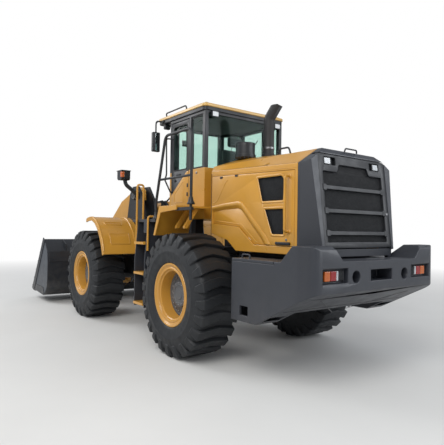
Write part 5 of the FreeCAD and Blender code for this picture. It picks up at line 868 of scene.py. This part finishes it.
def roof():
    body = "rear_frame"
    x0, x1, half, low, top = RX + 0.125, RX + 1.500, 0.775, 3.345, 3.475
    fascia = stacked("roof_fascia", rectangle(x0 + 0.014, x1 - 0.014, -half + 0.014, half - 0.014, 0.07),
                     ((low, 0.006), (low + 0.006, 0.0), (low + 0.060, 0.0)), BLACK, body)
    cap = stacked("roof_cap", rectangle(x0, x1, -half, half, 0.085),
                  ((low + 0.052, 0.010), (low + 0.056, 0.002), (low + 0.062, 0.0), (top - 0.045, 0.0), (top - 0.036, 0.004),
                   (top - 0.010, 0.066), (top - 0.002, 0.090), (top, 0.120)), ROOF_YELLOW, body, smooth=11)
    rib = [stacked(f"roof_rib_{i}", rectangle(x0 + 0.22, x1 - 0.22, y - 0.06, y + 0.06, 0.03),
                   ((top - 0.002, 0.0), (top + 0.006, 0.008)), ROOF_YELLOW, body) for i, y in enumerate((-0.34, 0.0, 0.34))]
    return gather("cab_roof_dressed", [fascia, cap, *rib], ["cab_roof"])


roof()
RAIL = [(RX + 1.235, 0.742, 3.420), (RX + 1.235, 0.760, 3.494), (RX + 0.640, 0.760, 3.500), (RX + 0.640, 0.742, 3.430)]
both_sides(tube("roof_handle", RAIL, 0.011, BLACK, "rear_frame", bend=0.035), "roof_handle")
GRAB = [(RX + 0.985, 0.742, 3.050), (RX + 1.142, 0.800, 3.072), (RX + 1.122, 0.800, 2.500), (RX + 1.176, 0.800, 2.427),
        (RX + 1.045, 0.770, 2.225), (RX + 1.040, 0.735, 2.222)]
both_sides(tube("cab_grab", GRAB, 0.012, BLACK, "rear_frame", bend=0.03), "cab_grab")


def door_leaf():
    body = "cab_door"
    x0, x1, low, high = RX + 0.5703, RX + 1.070, 1.855, 3.285
    pane = rectangle(RX + 0.625, RX + 1.015, 2.550, 3.235, 0.045)
    pieces = [panel("leaf_frame", rectangle(x0, x1, low, high, 0.02), 0.704, 0.740, "y", BLACK, body, holes=[pane],
                    edge=0.004)]
    pieces.append(swept("leaf_seal", rectangle(RX + 0.627, RX + 1.013, 2.552, 3.233, 0.043),
                        [(-0.009, -0.004), (-0.009, 0.003), (0.006, 0.004), (0.010, -0.001)], "y", 0.740, TRIM, body,
                        closed=True, smooth=50))
    lower = [(x0 + 0.006, low + 0.006), (x1 - 0.006, low + 0.006), (x1 - 0.006, 2.170), (x0 + 0.045, 2.515),
             (x0 + 0.006, 2.515)]
    pieces.append(panel("leaf_lower", soften(lower, 0.02), 0.730, 0.7445, "y", YELLOW, body, edge=0.003))
    hatch = [(RX + 0.690, 2.385), (RX + 0.690, 2.060), (RX + 0.960, 2.060), (RX + 0.960, 2.190)]
    pieces.append(swept("leaf_hatch", soften(hatch, 0.03), bead(0.014, 0.004), "y", 0.7445, YELLOW, body, closed=True,
                        smooth=60))
    pieces.append(lathe("leaf_lock", [(0.0005, 0.014), (0.017, 0.014), (0.022, 0.008), (0.024, -0.002)], "y",
                        (RX + 0.955, 0.741, 2.400), PLASTIC, body, turns=24, closed=False))
    pieces.append(block("leaf_handle", (RX + 0.800, RX + 0.900), (0.742, 0.758), (2.470, 2.494), PLASTIC, body, bevel=0.006,
                        segments=3))
    for i, z in enumerate((2.172, 2.304)):
        pieces.append(block(f"leaf_hinge_{i}", (x0 + 0.004, x0 + 0.034), (0.742, 0.752), (z - 0.028, z + 0.028), BLACK, body,
                            bevel=0.004))
    grip = [(RX + 0.650, 0.735, 2.620), (RX + 0.650, 0.700, 2.640), (RX + 0.650, 0.690, 2.900), (RX + 0.650, 0.706, 2.920)]
    pieces.append(tube("leaf_grip", grip, 0.009, BLACK, body, bend=0.02))
    return gather("cab_door_dressed", pieces, ["cab_door"])


door_leaf()


def quarter_frame():
    outline = rectangle(RX + 0.222, RX + 0.518, 2.545, 3.292, 0.03)
    return swept("quarter_frame", outline, [(-0.012, -0.010), (-0.012, 0.004), (0.008, 0.005), (0.012, -0.004)], "y", 0.722,
                 TRIM, "rear_frame", closed=True, smooth=50)


both_sides(quarter_frame(), "quarter_frame")
both_sides(lathe("tub_lock", [(0.0005, 0.008), (0.012, 0.008), (0.018, 0.005), (0.020, -0.002)], "y",
                 (RX + 0.358, 0.740, 2.469), STEEL, "rear_frame", turns=24, closed=False), "tub_lock")
tube("rear_wiper", [(RX + 0.146, 0.10, 2.548), (RX + 0.132, 0.10, 2.60), (RX + 0.132, -0.22, 3.02)], 0.006, BLACK,
     "rear_frame", bend=0.03)


MIRROR_TURN = math.radians(34)


def mirror():
    body = "rear_frame"
    x0, x1, y0, y1, z0, z1 = RX + 1.300, RX + 1.360, 0.825, 0.955, 2.880, 3.190
    shell = stacked("mirror_shell", rectangle(y0, y1, z0, z1, 0.035), ((x0 + 0.004, 0.0), (x0 + 0.030, 0.0),
                                                                    (x0 + 0.050, 0.012), (x1, 0.035)), PLASTIC, body)
    turn = Matrix(((0, 0, 1, 0), (1, 0, 0, 0), (0, 1, 0, 0), (0, 0, 0, 1)))
    shell.data.transform(turn)
    glass = panel("mirror_glass", rectangle(y0 + 0.010, y1 - 0.010, z0 + 0.010, z1 - 0.010, 0.028), x0, x0 + 0.006, "x",
                  MIRROR, body, edge=0.0015)
    x, y = RX + 1.330, 0.890
    swing = Matrix.Translation((x, y, 0)) @ Matrix.Rotation(MIRROR_TURN, 4, "Z") @ Matrix.Translation((-x, -y, 0))
    for piece in (shell, glass):
        piece.data.transform(swing)
    arm = tube("mirror_arm", [(x, 0.765, 3.375), (x, y, 3.375), (x, y, 3.150)], 0.011, BLACK, body, bend=0.05)
    foot = block("mirror_foot", (x - 0.035, x + 0.035), (0.755, 0.778), (3.352, 3.398), BLACK, body, bevel=0.005)
    return gather("mirror", [shell, glass, arm, foot])


left_mirror = mirror()
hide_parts("mirrors")
both_sides(left_mirror, "mirror")


def roof_lamp(name, x, y, z, way):
    """A work lamp that shines along x, in a ribbed housing on a bracket."""
    body = "rear_frame"
    face = x[1] if way > 0 else x[0]
    pieces = [block(f"{name}_case", x, y, z, PLASTIC, body, bevel=0.010, segments=3)]
    lens = tuple(sorted((face, face + way * 0.004)))
    pieces.append(block(f"{name}_bowl", lens, (y[0] + 0.010, y[1] - 0.010), (z[0] + 0.010, z[1] - 0.010), CLEAR, body,
                        bevel=0.002))
    for i in range(4):
        edge = z[0] + (z[1] - z[0]) * (i + 1) / 5
        pieces.append(block(f"{name}_rib_{i}", (x[0] + 0.006, x[1] - 0.006), (y[0] - 0.004, y[1] + 0.004),
                            (edge - 0.003, edge + 0.003), PLASTIC, body, bevel=0.001))
    pieces.append(block(f"{name}_bracket", (sum(x) / 2 - 0.012, sum(x) / 2 + 0.012), (sum(y) / 2 - 0.03, sum(y) / 2 + 0.03),
                        (z[1] - 0.01, 3.347), BLACK, body, bevel=0.002))
    return gather(name, pieces)


rear_lamp = roof_lamp("rear_roof_lamp", (RX + 0.100, RX + 0.146), (0.542, 0.658), (3.250, 3.335), -1)
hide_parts("work_lamps")
both_sides(rear_lamp, "rear_roof_lamp")
both_sides(roof_lamp("front_roof_lamp", (RX + 1.282, RX + 1.338), (0.652, 0.748), (3.258, 3.334), 1), "front_roof_lamp")
block("cab_ceiling", (RX + 0.22, RX + 1.38), (-0.44, 0.44), (3.325, 3.340), TRIM, "rear_frame", bevel=0.004)
block("inner_mirror", (RX + 1.28, RX + 1.30), (0.24, 0.42), (3.02, 3.12), PLASTIC, "rear_frame", bevel=0.008, segments=3)
tube("inner_mirror_stem", [(RX + 1.31, 0.33, 3.33), (RX + 1.30, 0.33, 3.10)], 0.006, BLACK, "rear_frame")


# Seat: three stuffed pads on a plain pedestal

PAD_VOXEL = 0.009


def swollen(thing, cap):
    """Blow a pad up like a stuffed cover: cloth under pressure, each point's way limited to cap."""
    start = [vertex.co.copy() for vertex in thing.data.vertices]
    cloth = thing.modifiers.new("swell", "CLOTH")
    cloth.settings.use_pressure = True
    cloth.settings.uniform_pressure_force = 4.0
    cloth.settings.effector_weights.gravity = 0.0
    cloth.settings.quality = 4
    cloth.point_cache.frame_start, cloth.point_cache.frame_end = 1, 20
    for moment in range(1, 21):
        bpy.context.scene.frame_set(moment)
    shape = thing.evaluated_get(bpy.context.evaluated_depsgraph_get()).to_mesh()
    ends = [vertex.co.copy() for vertex in shape.vertices]
    thing.modifiers.remove(cloth)
    bpy.context.scene.frame_set(1)
    for vertex, before, after in zip(thing.data.vertices, start, ends):
        way = after - before
        vertex.co = before + way * min(1.0, cap / max(way.length, 1e-6))


def pad(name, x, y, z, cap, seams, along):
    """A stuffed pad: a slightly smaller rounded block, swollen, then drawn in along its seams."""
    room = cap * 0.55
    block(name, (x[0] + room, x[1] - room), (y[0] + room, y[1] - room), (z[0] + room, z[1] - room), FABRIC, "rear_frame",
          bevel=min(0.04, (x[1] - x[0] - 2 * room) * 0.4), segments=4)
    thing = bpy.data.objects[name]
    thing.data = settled(thing)
    thing.modifiers.clear()
    net = thing.modifiers.new("net", "REMESH")
    net.mode = "VOXEL"
    net.voxel_size = PAD_VOXEL
    thing.data = settled(thing)
    thing.modifiers.clear()
    swollen(thing, cap)
    middle = Vector((sum(x) / 2, sum(y) / 2, sum(z) / 2))
    for vertex in thing.data.vertices:
        near = min(abs(vertex.co[along] - seam) for seam in seams)
        draw = math.exp(-(near / 0.012) ** 2) * 0.010
        vertex.co += (middle - vertex.co).normalized() * draw
        for axis, (low, high) in enumerate((x, y, z)):
            vertex.co[axis] = min(max(vertex.co[axis], low), high)
    smooth = thing.modifiers.new("smooth", "SUBSURF")
    smooth.levels = smooth.render_levels = 1
    thing.data = settled(thing)
    thing.modifiers.clear()
    thing.data.materials.clear()
    thing.data.materials.append(FABRIC)
    for face in thing.data.polygons:
        face.use_smooth = True
    return thing


cushion = pad("seat_cushion", (RX + 0.480, RX + 0.980), (-0.250, 0.250), (2.140, 2.270), 0.022, (-0.13, 0.13), 1)
backrest = pad("seat_back", (RX + 0.360, RX + 0.482), (-0.250, 0.250), (2.150, 2.900), 0.020, (2.36, 2.52, 2.68), 2)
headrest = pad("seat_headrest", (RX + 0.370, RX + 0.470), (-0.140, 0.140), (2.915, 3.090), 0.018, (9.0,), 2)
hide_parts("seat")
for i, y in enumerate((-0.06, 0.06)):
    tube(f"headrest_post_{i}", [(RX + 0.420, y, 2.860), (RX + 0.420, y, 2.960)], 0.007, STEEL, "rear_frame")
stacked("seat_pedestal", rectangle(RX + 0.540, RX + 0.860, -0.180, 0.180, 0.04),
        ((1.840, 0.0), (1.900, 0.0), (1.960, 0.03), (2.080, 0.03), (2.140, 0.0)), PLASTIC, "rear_frame")
for side, sign in SIDES:
    tube(f"armrest_bar_{side}", [(RX + 0.420, sign * 0.262, 2.420), (RX + 0.500, sign * 0.275, 2.445),
                                 (RX + 0.780, sign * 0.275, 2.450)], 0.022, PLASTIC, "rear_frame", bend=0.04)


# Hood top, rails and fenders

def hood_trim():
    body = "rear_frame"
    handle = [(RX - 0.690, 0.12, 2.640), (RX - 0.720, 0.12, 2.742), (RX - 0.881, 0.12, 2.742), (RX - 0.925, 0.12, 2.630)]
    pieces = [tube("hood_handle", handle, 0.012, BLACK, body, bend=0.035)]
    handle = [(RX - 1.770, -0.11, 2.570), (RX - 1.776, -0.10, 2.606), (RX - 1.776, 0.10, 2.606), (RX - 1.770, 0.11, 2.570)]
    pieces.append(tube("housing_handle", handle, 0.009, BLACK, body, bend=0.02))
    for sign in (1, -1):
        seam = [(RX - 0.082, 1.400), (RX - 0.082, 2.405)]
        pieces.append(swept(f"hood_seam_{sign}", seam, bead(0.010, 0.003), "y", sign * 0.775, BLACK, body, out=sign))
        shelf = [(RX - 0.100, 2.392), (RX - 1.670, 2.338)]
        pieces.append(swept(f"hood_line_{sign}", shelf, bead(0.008, 0.003), "y", sign * 0.775, YELLOW, body, out=sign))
    return gather("hood_trim", pieces)


hood_trim()


def stack_trim():
    body = "rear_frame"
    centre = (RX - 0.340, -0.020)
    foot = lathe("stack_foot", [(0.100, 2.560), (0.112, 2.565), (0.112, 2.600), (0.100, 2.612), (0.094, 2.700), (0.082, 2.730),
                                (0.077, 2.735)], "z", (centre[0], centre[1], 0), EXHAUST, body, turns=48, closed=False,
                 smooth=40)
    clamp = lathe("stack_clamp", [(0.077, 2.800), (0.081, 2.802), (0.081, 2.826), (0.077, 2.828)], "z",
                  (centre[0], centre[1], 0), STEEL, body, turns=48, closed=False, smooth=40)
    return gather("stack_trim", [foot, clamp])


stack_trim()


def cleaner():
    body = "rear_frame"
    outline = [(0.0005, 2.872), (0.090, 2.872), (0.118, 2.866), (0.132, 2.852), (0.137, 2.836), (0.137, 2.828), (0.133, 2.824),
               (0.133, 2.706), (0.138, 2.700), (0.147, 2.690), (0.149, 2.676), (0.147, 2.664), (0.128, 2.652), (0.090, 2.640),
               (0.070, 2.636), (0.070, 2.606), (0.084, 2.600), (0.084, 2.556), (0.0005, 2.556)]
    centre = (RX - 0.190, 0.285, 0)
    pieces = [lathe("cleaner_bowl", outline, "z", centre, PLASTIC, body, turns=56, closed=False, smooth=35)]
    for i in range(16):
        angle = math.tau * i / 16
        x, y = centre[0] + 0.1375 * math.cos(angle), centre[1] + 0.1375 * math.sin(angle)
        pieces.append(block(f"cleaner_rib_{i}", (x - 0.004, x + 0.004), (y - 0.004, y + 0.004), (2.640, 2.698), PLASTIC, body,
                            bevel=0.001))
    return gather("precleaner_dressed", pieces)


DRESSED.pop("precleaner").hide_render = False
cleaner()


def platform_trim():
    body = "rear_frame"
    pieces = []
    cone = [(0.050, 1.966), (0.052, 1.975), (0.034, 2.010), (0.024, 2.060), (0.020, 2.062)]
    pieces.append(lathe("rail_boot", cone, "z", (RX - 0.320, 1.259, 0), HOSE, body, turns=28, closed=False))
    pieces.append(lathe("rail_boot_front", [(r * 0.85, z - 0.176) for r, z in cone], "z", (RX + 0.590, 1.259, 0), HOSE, body,
                        turns=28, closed=False))
    for i, x in enumerate((RX + 0.03, RX + 0.24)):
        outline = [(0.900, 1.936), (0.960, 1.936), (1.130, 1.690), (1.130, 1.660), (1.085, 1.660)]
        pieces.append(prism(f"fender_strut_{i}", outline, x, x + 0.045, "x", YELLOW, body, bevel=0.004))
    treads = [(RX + 0.66 + 0.08 * i, 0.80 + 0.07 * k) for i in range(9) for k in range(6)]
    studs = [lathe(f"tread_{i}", [(0.0005, 0.004), (0.012, 0.004), (0.016, -0.001)], "z", (x, y, 1.790), CHARCOAL, body,
                   turns=8, closed=False, smooth=0) for i, (x, y) in enumerate(treads)]
    return gather("platform_trim", pieces + studs)


both_sides(platform_trim(), "platform_trim")

FENDER_LINE = ((102, 1.045), (108, 1.095), (116, 1.165), (124, 1.190), (132, 1.190), (140, 1.178), (148, 1.162),
               (155, 1.148), (159, 1.142))


def fender_spot(angle, across, rise):
    """A place on the front fender's outer face, rise above it."""
    for (a0, r0), (a1, r1) in zip(FENDER_LINE, FENDER_LINE[1:]):
        if angle <= a1:
            break
    reach = r0 + (r1 - r0) * (angle - a0) / (a1 - a0) + rise
    turn = math.radians(angle)
    return (FRONT + reach * math.cos(turn), across, AXLE + reach * math.sin(turn))


def on_fender(thing):
    """Wrap a pressed line, drawn with angle / 100 and across as its plane, onto the fender."""
    for vertex in thing.data.vertices:
        vertex.co = fender_spot(vertex.co.x * 100, vertex.co.y, vertex.co.z)
    return thing


def fender_press():
    body = "front_frame"
    pieces = []
    for name, (a0, a1), (y0, y1) in (("slot", (1.265, 1.300), (0.90, 1.22)), ("field", (1.400, 1.500), (0.84, 1.20))):
        outline = rectangle(a0, a1, y0, y1, 0.012, 3)
        section = [(-0.007, -0.001), (-0.005, 0.005), (0.002, 0.008), (0.006, 0.005), (0.008, -0.001)]
        pieces.append(on_fender(swept(f"fender_{name}", outline, section, "z", 0.0, YELLOW, body, closed=True, smooth=60)))
    line = [(1.04 + 0.02 * i, 0.735) for i in range(27)]
    pieces.append(on_fender(swept("fender_ridge", line, [(-0.020, -0.001), (-0.012, 0.014), (0.012, 0.014), (0.020, -0.001)],
                                  "z", 0.0, YELLOW, body, smooth=60)))
    line = [(1.04 + 0.02 * i, 1.340) for i in range(27)]
    pieces.append(on_fender(swept("fender_rim", line, [(-0.014, -0.001), (-0.008, 0.008), (0.010, 0.008), (0.018, -0.001)],
                                  "z", 0.0, YELLOW, body, smooth=60)))
    return gather("fender_press", pieces)


both_sides(fender_press(), "fender_press")


# Front work lamps on bent arms, and the caps of the boom pins

def front_lamp():
    body = "front_frame"
    x0, x1, y0, y1, z0, z1 = 0.400, 0.590, 0.815, 0.985, 2.515, 2.680
    outline = [(x0, z0 + 0.02), (x0 + 0.03, z0), (x1 - 0.03, z0), (x1, z0 + 0.03), (x1, z1), (x0, z1)]
    pieces = [prism("lamp_case", outline, y0, y1, "y", PLASTIC, body, bevel=0.008, segments=3)]
    pieces.append(block("lamp_brim", (x0 - 0.012, x1 + 0.025), (y0 - 0.008, y1 + 0.004), (z1 - 0.004, z1 + 0.010), PLASTIC, body,
                        bevel=0.004))
    pieces.append(block("lamp_turn", (x0 - 0.006, x0 + 0.05), (y1 - 0.055, y1 + 0.002), (z0 + 0.045, z1 - 0.020), ORANGE, body,
                        bevel=0.008, segments=3))
    pieces.append(block("lamp_back", (x0 - 0.005, x0 + 0.02), (y0 + 0.012, y1 - 0.062), (z0 + 0.04, z1 - 0.018), MESH_DARK, body,
                        bevel=0.004))
    pieces.append(block("lamp_face", (x1 - 0.004, x1 + 0.004), (y0 + 0.014, y1 - 0.014), (z0 + 0.04, z1 - 0.016), CLEAR, body,
                        bevel=0.003))
    arm = [(0.49, 0.880, 2.530), (0.49, 0.860, 2.440), (0.475, 0.735, 2.345), (0.470, 0.625, 2.250)]
    pieces.append(tube("lamp_arm", arm, 0.036, BLACK, body, bend=0.05, sides=10))
    pieces.append(block("lamp_foot", (0.400, 0.540), (0.628, 0.646), (2.190, 2.310), BLACK, body, bevel=0.005))
    pieces.append(bolts("lamp_foot_bolts", [(x, 0.646, z) for x in (0.420, 0.520) for z in (2.210, 2.290)], 0.009, "y", 1, body))
    return gather("front_lamp", pieces)


left_lamp = front_lamp()
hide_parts("front_lamps")
both_sides(left_lamp, "front_lamp")


def pin_cap():
    body = "front_frame"
    outline = [(0.0005, 0.010), (0.030, 0.010), (0.036, 0.004), (0.066, 0.004), (0.072, 0.010), (0.084, 0.010), (0.090, 0.004),
               (0.092, -0.006)]
    cap = lathe("pin_cap", outline, "y", (FRONT - 0.700, 0.655, 2.280), GREY_CAST, body, turns=48, closed=False, smooth=30)
    screws = bolts("pin_cap_bolts", [(FRONT - 0.700 + 0.052 * math.cos(math.tau * k / 4 + 0.6), 0.659,
                                      2.280 + 0.052 * math.sin(math.tau * k / 4 + 0.6)) for k in range(4)], 0.008, "y", 1, body)
    return gather("boom_pin_cap", [cap, screws])


both_sides(pin_cap(), "boom_pin_cap")


# Boom and cylinders: pipes, hoses and grease caps

def boom_lines():
    body = "tilt_barrel"
    foot, eye = Vector((FRONT - 0.880, 0, 2.097)), Vector((FRONT + 0.550, 0, 2.000))
    way = (eye - foot).normalized()
    up = Vector((0, 1, 0)).cross(way) * -1
    if up.z < 0:
        up = -up
    pieces = []
    for i, (across, start, end) in enumerate(((0.045, 0.16, 0.98), (-0.045, 0.16, 0.62))):
        line = [foot + way * start + up * 0.080 + Vector((0, across, 0)), foot + way * start + up * 0.110 + Vector((0, across, 0)),
                foot + way * end + up * 0.110 + Vector((0, across, 0)), foot + way * end + up * 0.080 + Vector((0, across, 0))]
        pieces.append(tube(f"tilt_pipe_{i}", line, 0.011, BLACK, body, bend=0.03))
    return gather("tilt_pipes", pieces)


boom_lines()


def boom_trim():
    body = "boom"
    pieces = []
    for sign in (1, -1):
        path = [(FRONT - 0.62, sign * 0.36, 2.36), (FRONT - 0.20, sign * 0.36, 2.27), (FRONT + 0.02, sign * 0.36, 2.05),
                (FRONT + 0.09, sign * 0.36, 1.93)]
        pieces.append(tube(f"boom_hose_{sign}", path, 0.016, HOSE, body, bend=0.12))
        pieces.append(block(f"boom_clip_{sign}", (FRONT - 0.33, FRONT - 0.27), (min(sign * 0.335, sign * 0.455),
                            max(sign * 0.335, sign * 0.455)), (2.272, 2.300), BLACK, body, bevel=0.003))
        outline = [(0.0005, 0.012), (0.050, 0.012), (0.062, 0.004), (0.105, 0.004), (0.112, -0.002)]
        for i, (x, z) in enumerate(((FRONT - 0.700, 2.280), (FRONT + 1.530, 0.500))):
            pieces.append(lathe(f"boom_boss_{i}_{sign}", [(r, sign * a) for r, a in outline], "y", (x, sign * 0.550, z),
                                YELLOW, body, turns=40, closed=False, smooth=30))
    return gather("boom_trim", pieces)


boom_trim()


# Bucket: side plates in a lighter grey that is painted light on the lit sides, a raised strip and gussets on the back,
# wear plates and bolts

def bucket_trim():
    body = "bucket"
    pieces = []
    back = FRONT + 1.678
    pieces.append(prism("bucket_strip", [(back - 0.012, 0.905), (back + 0.004, 0.905), (back + 0.052, 1.130),
                                         (back + 0.038, 1.130)], -1.470, 1.470, "y", BUCKET_DARK, body, bevel=0.003))
    guard = [(FRONT + 1.728, 1.130), (FRONT + 1.736, 1.285), (FRONT + 1.975, 1.386), (FRONT + 1.980, 1.372)]
    for i, y in enumerate((-1.10, -0.37, 0.37, 1.10)):
        pieces.append(prism(f"bucket_gusset_{i}", guard, y - 0.010, y + 0.010, "y", BUCKET_DARK, body, bevel=0.003))
    for sign in (1, -1):
        low, high = sorted((sign * 1.4995, sign * 1.506))
        side = [(FRONT + 2.000, 0.158), (FRONT + 2.660, 0.215), (FRONT + 2.090, 1.345), (FRONT + 1.985, 1.375),
                (FRONT + 1.742, 1.128), (FRONT + 1.690, 0.900), (FRONT + 1.694, 0.525), (FRONT + 1.722, 0.345),
                (FRONT + 1.842, 0.220)]
        # The side plates' lighter grey is painted light on the bucket's lit sides.
        pieces.append(prism(f"bucket_cheek_{sign}", side, low, high, "y", LIT_SIDE_GREY, body, bevel=0.002))
        low, high = sorted((sign * 1.505, sign * 1.517))
        wear = [(FRONT + 1.880, 0.215), (FRONT + 2.000, 0.170), (FRONT + 2.620, 0.225), (FRONT + 2.560, 0.345),
                (FRONT + 1.980, 0.330)]
        pieces.append(prism(f"bucket_wear_{sign}", wear, low, high, "y", BUCKET_DARK, body, bevel=0.003))
        places = [(FRONT + 2.800 - 0.145 * i, sign * 1.5195, 0.290 + 0.198 * i) for i in range(6)]
        pieces.append(bolts(f"bucket_bolts_{sign}", places, 0.013, "y", sign, body))
    places = [(FRONT + 2.780, -1.30 + 0.26 * i, 0.236) for i in range(11)]
    pieces.append(bolts("bucket_edge_bolts", places, 0.014, "z", 1, body))
    return gather("bucket_trim", pieces)


bucket_trim()


# Counterweight: black beads along the creases of the underside, painted shade where the folds darken

def weight_trim():
    body = "rear_frame"
    pieces = []
    slope = (0.975 - 0.640) / (2.080 - 1.430)
    for i, line in enumerate(([(1.520, 0.0), (2.030, 0.78)], [(1.520, 0.0), (2.030, -0.78)], [(1.780, -1.06), (1.780, 1.06)])):
        # Painted shade: black beads mark where the underside's folds fall into shade.
        crease_shade = swept(f"weight_crease_{i}", [(RX - x, y) for x, y in line], bead(0.012, 0.004), "z", 0.0, BLACK, body, out=-1)
        crease_shade.data.transform(Matrix(((1, 0, 0, 0), (0, 1, 0, 0), (-slope, 0, 1, 0.640 + slope * (RX - 1.430)), (0, 0, 0, 1))))
        pieces.append(crease_shade)
    return gather("weight_trim", pieces)


weight_trim()


# Stage: a plain pale floor, soft studio light and the photograph's camera

def stage_floor():
    mesh = polygon_mesh("studio_floor", [(-60, -60, -0.002), (60, -60, -0.002), (60, 60, -0.002), (-60, 60, -0.002)],
                        [[0, 1, 2, 3]])
    made = Nodes("studio floor")
    made.link(made.mix(made.steps(made.noise(0.6, 4.0), (0.3, 0.0), (0.8, 1.0)), plain((214, 214, 212)),
                       plain((220, 220, 218))), made.shader.inputs["Base Color"])
    made.shader.inputs["Roughness"].default_value = 0.75
    far = made.tree.nodes.new("ShaderNodeVectorMath")
    far.operation = "LENGTH"
    made.link(made.place(), far.inputs[0])
    share = made.tree.nodes.new("ShaderNodeMapRange")
    share.inputs["From Min"].default_value, share.inputs["From Max"].default_value = 5.0, 17.0
    made.link(far.outputs["Value"], share.inputs["Value"])
    rays = made.tree.nodes.new("ShaderNodeLightPath")
    seen = made.tree.nodes.new("ShaderNodeMath")
    seen.operation = "MULTIPLY"
    made.link(share.outputs["Result"], seen.inputs[0])
    made.link(rays.outputs["Is Camera Ray"], seen.inputs[1])
    white = made.add("ShaderNodeEmission", Color=(1.0, 1.0, 1.0, 1.0), Strength=1.0)
    blend = made.tree.nodes.new("ShaderNodeMixShader")
    made.link(seen.outputs[0], blend.inputs[0])
    made.link(made.shader.outputs[0], blend.inputs[1])
    made.link(white.outputs[0], blend.inputs[2])
    made.link(blend.outputs[0], made.output.inputs["Surface"])
    mesh.materials.append(made.material)
    floor = bpy.data.objects.new("studio_floor", mesh)
    bpy.context.scene.collection.objects.link(floor)


def studio_world():
    world = bpy.data.worlds.new("studio")
    bpy.context.scene.world = world
    world.use_nodes = True
    tree = world.node_tree
    background = tree.nodes["Background"]
    background.inputs["Color"].default_value = (0.92, 0.95, 1.0, 1.0)
    background.inputs["Strength"].default_value = 0.5
    white = tree.nodes.new("ShaderNodeBackground")
    white.inputs["Color"].default_value = (1.0, 1.0, 1.0, 1.0)
    white.inputs["Strength"].default_value = 1.0
    rays = tree.nodes.new("ShaderNodeLightPath")
    either = tree.nodes.new("ShaderNodeMath")
    either.operation = "MAXIMUM"
    tree.links.new(rays.outputs["Is Camera Ray"], either.inputs[0])
    tree.links.new(rays.outputs["Is Transmission Ray"], either.inputs[1])
    blend = tree.nodes.new("ShaderNodeMixShader")
    tree.links.new(either.outputs[0], blend.inputs[0])
    tree.links.new(background.outputs[0], blend.inputs[1])
    tree.links.new(white.outputs[0], blend.inputs[2])
    tree.links.new(blend.outputs[0], tree.nodes["World Output"].inputs["Surface"])


def lamp(name, place, target, size, watts, colour=(1.0, 1.0, 1.0)):
    data = bpy.data.lights.new(name, "AREA")
    data.shape = "RECTANGLE"
    data.size, data.size_y = size
    data.energy = watts
    data.color = colour
    thing = bpy.data.objects.new(name, data)
    bpy.context.scene.collection.objects.link(thing)
    thing.location = place
    thing.rotation_euler = (Vector(target) - Vector(place)).to_track_quat("-Z", "Y").to_euler()


CAMERA_PLACE = (-7.117, 4.316, 1.651)
CAMERA_YAW, CAMERA_PITCH, CAMERA_ROLL = -0.6371, 0.0162, 0.0154
FOCAL_PIXELS, FRAME_HEIGHT = 453.4, 445


def photo_camera():
    data = bpy.data.cameras.new("photo_camera")
    camera = bpy.data.objects.new("photo_camera", data)
    bpy.context.scene.collection.objects.link(camera)
    ahead = Vector((math.cos(CAMERA_YAW) * math.cos(CAMERA_PITCH), math.sin(CAMERA_YAW) * math.cos(CAMERA_PITCH),
                    math.sin(CAMERA_PITCH)))
    level = ahead.cross(Vector((0, 0, 1))).normalized()
    upright = level.cross(ahead)
    right = level * math.cos(CAMERA_ROLL) + upright * math.sin(CAMERA_ROLL)
    up = upright * math.cos(CAMERA_ROLL) - level * math.sin(CAMERA_ROLL)
    turn = Matrix((right, up, -ahead)).transposed().to_4x4()
    camera.matrix_world = Matrix.Translation(CAMERA_PLACE) @ turn
    data.sensor_fit = "AUTO"
    data.sensor_width = 36.0
    data.lens = 36.0 * FOCAL_PIXELS / FRAME_HEIGHT
    data.clip_start, data.clip_end = 0.05, 200.0
    bpy.context.scene.camera = camera


stage_floor()
studio_world()
lamp("key", (-7.0, 8.0, 9.0), (-0.5, 0.0, 1.4), (7.0, 7.0), 820.0, (1.0, 0.98, 0.95))
lamp("fill", (-10.0, -5.0, 5.0), (-1.0, 0.0, 1.2), (6.0, 5.0), 350.0, (0.93, 0.96, 1.0))
lamp("rim", (6.0, 6.0, 7.0), (0.5, 0.0, 1.5), (5.0, 5.0), 380.0)
photo_camera()
bpy.context.scene.view_settings.view_transform = "Standard"
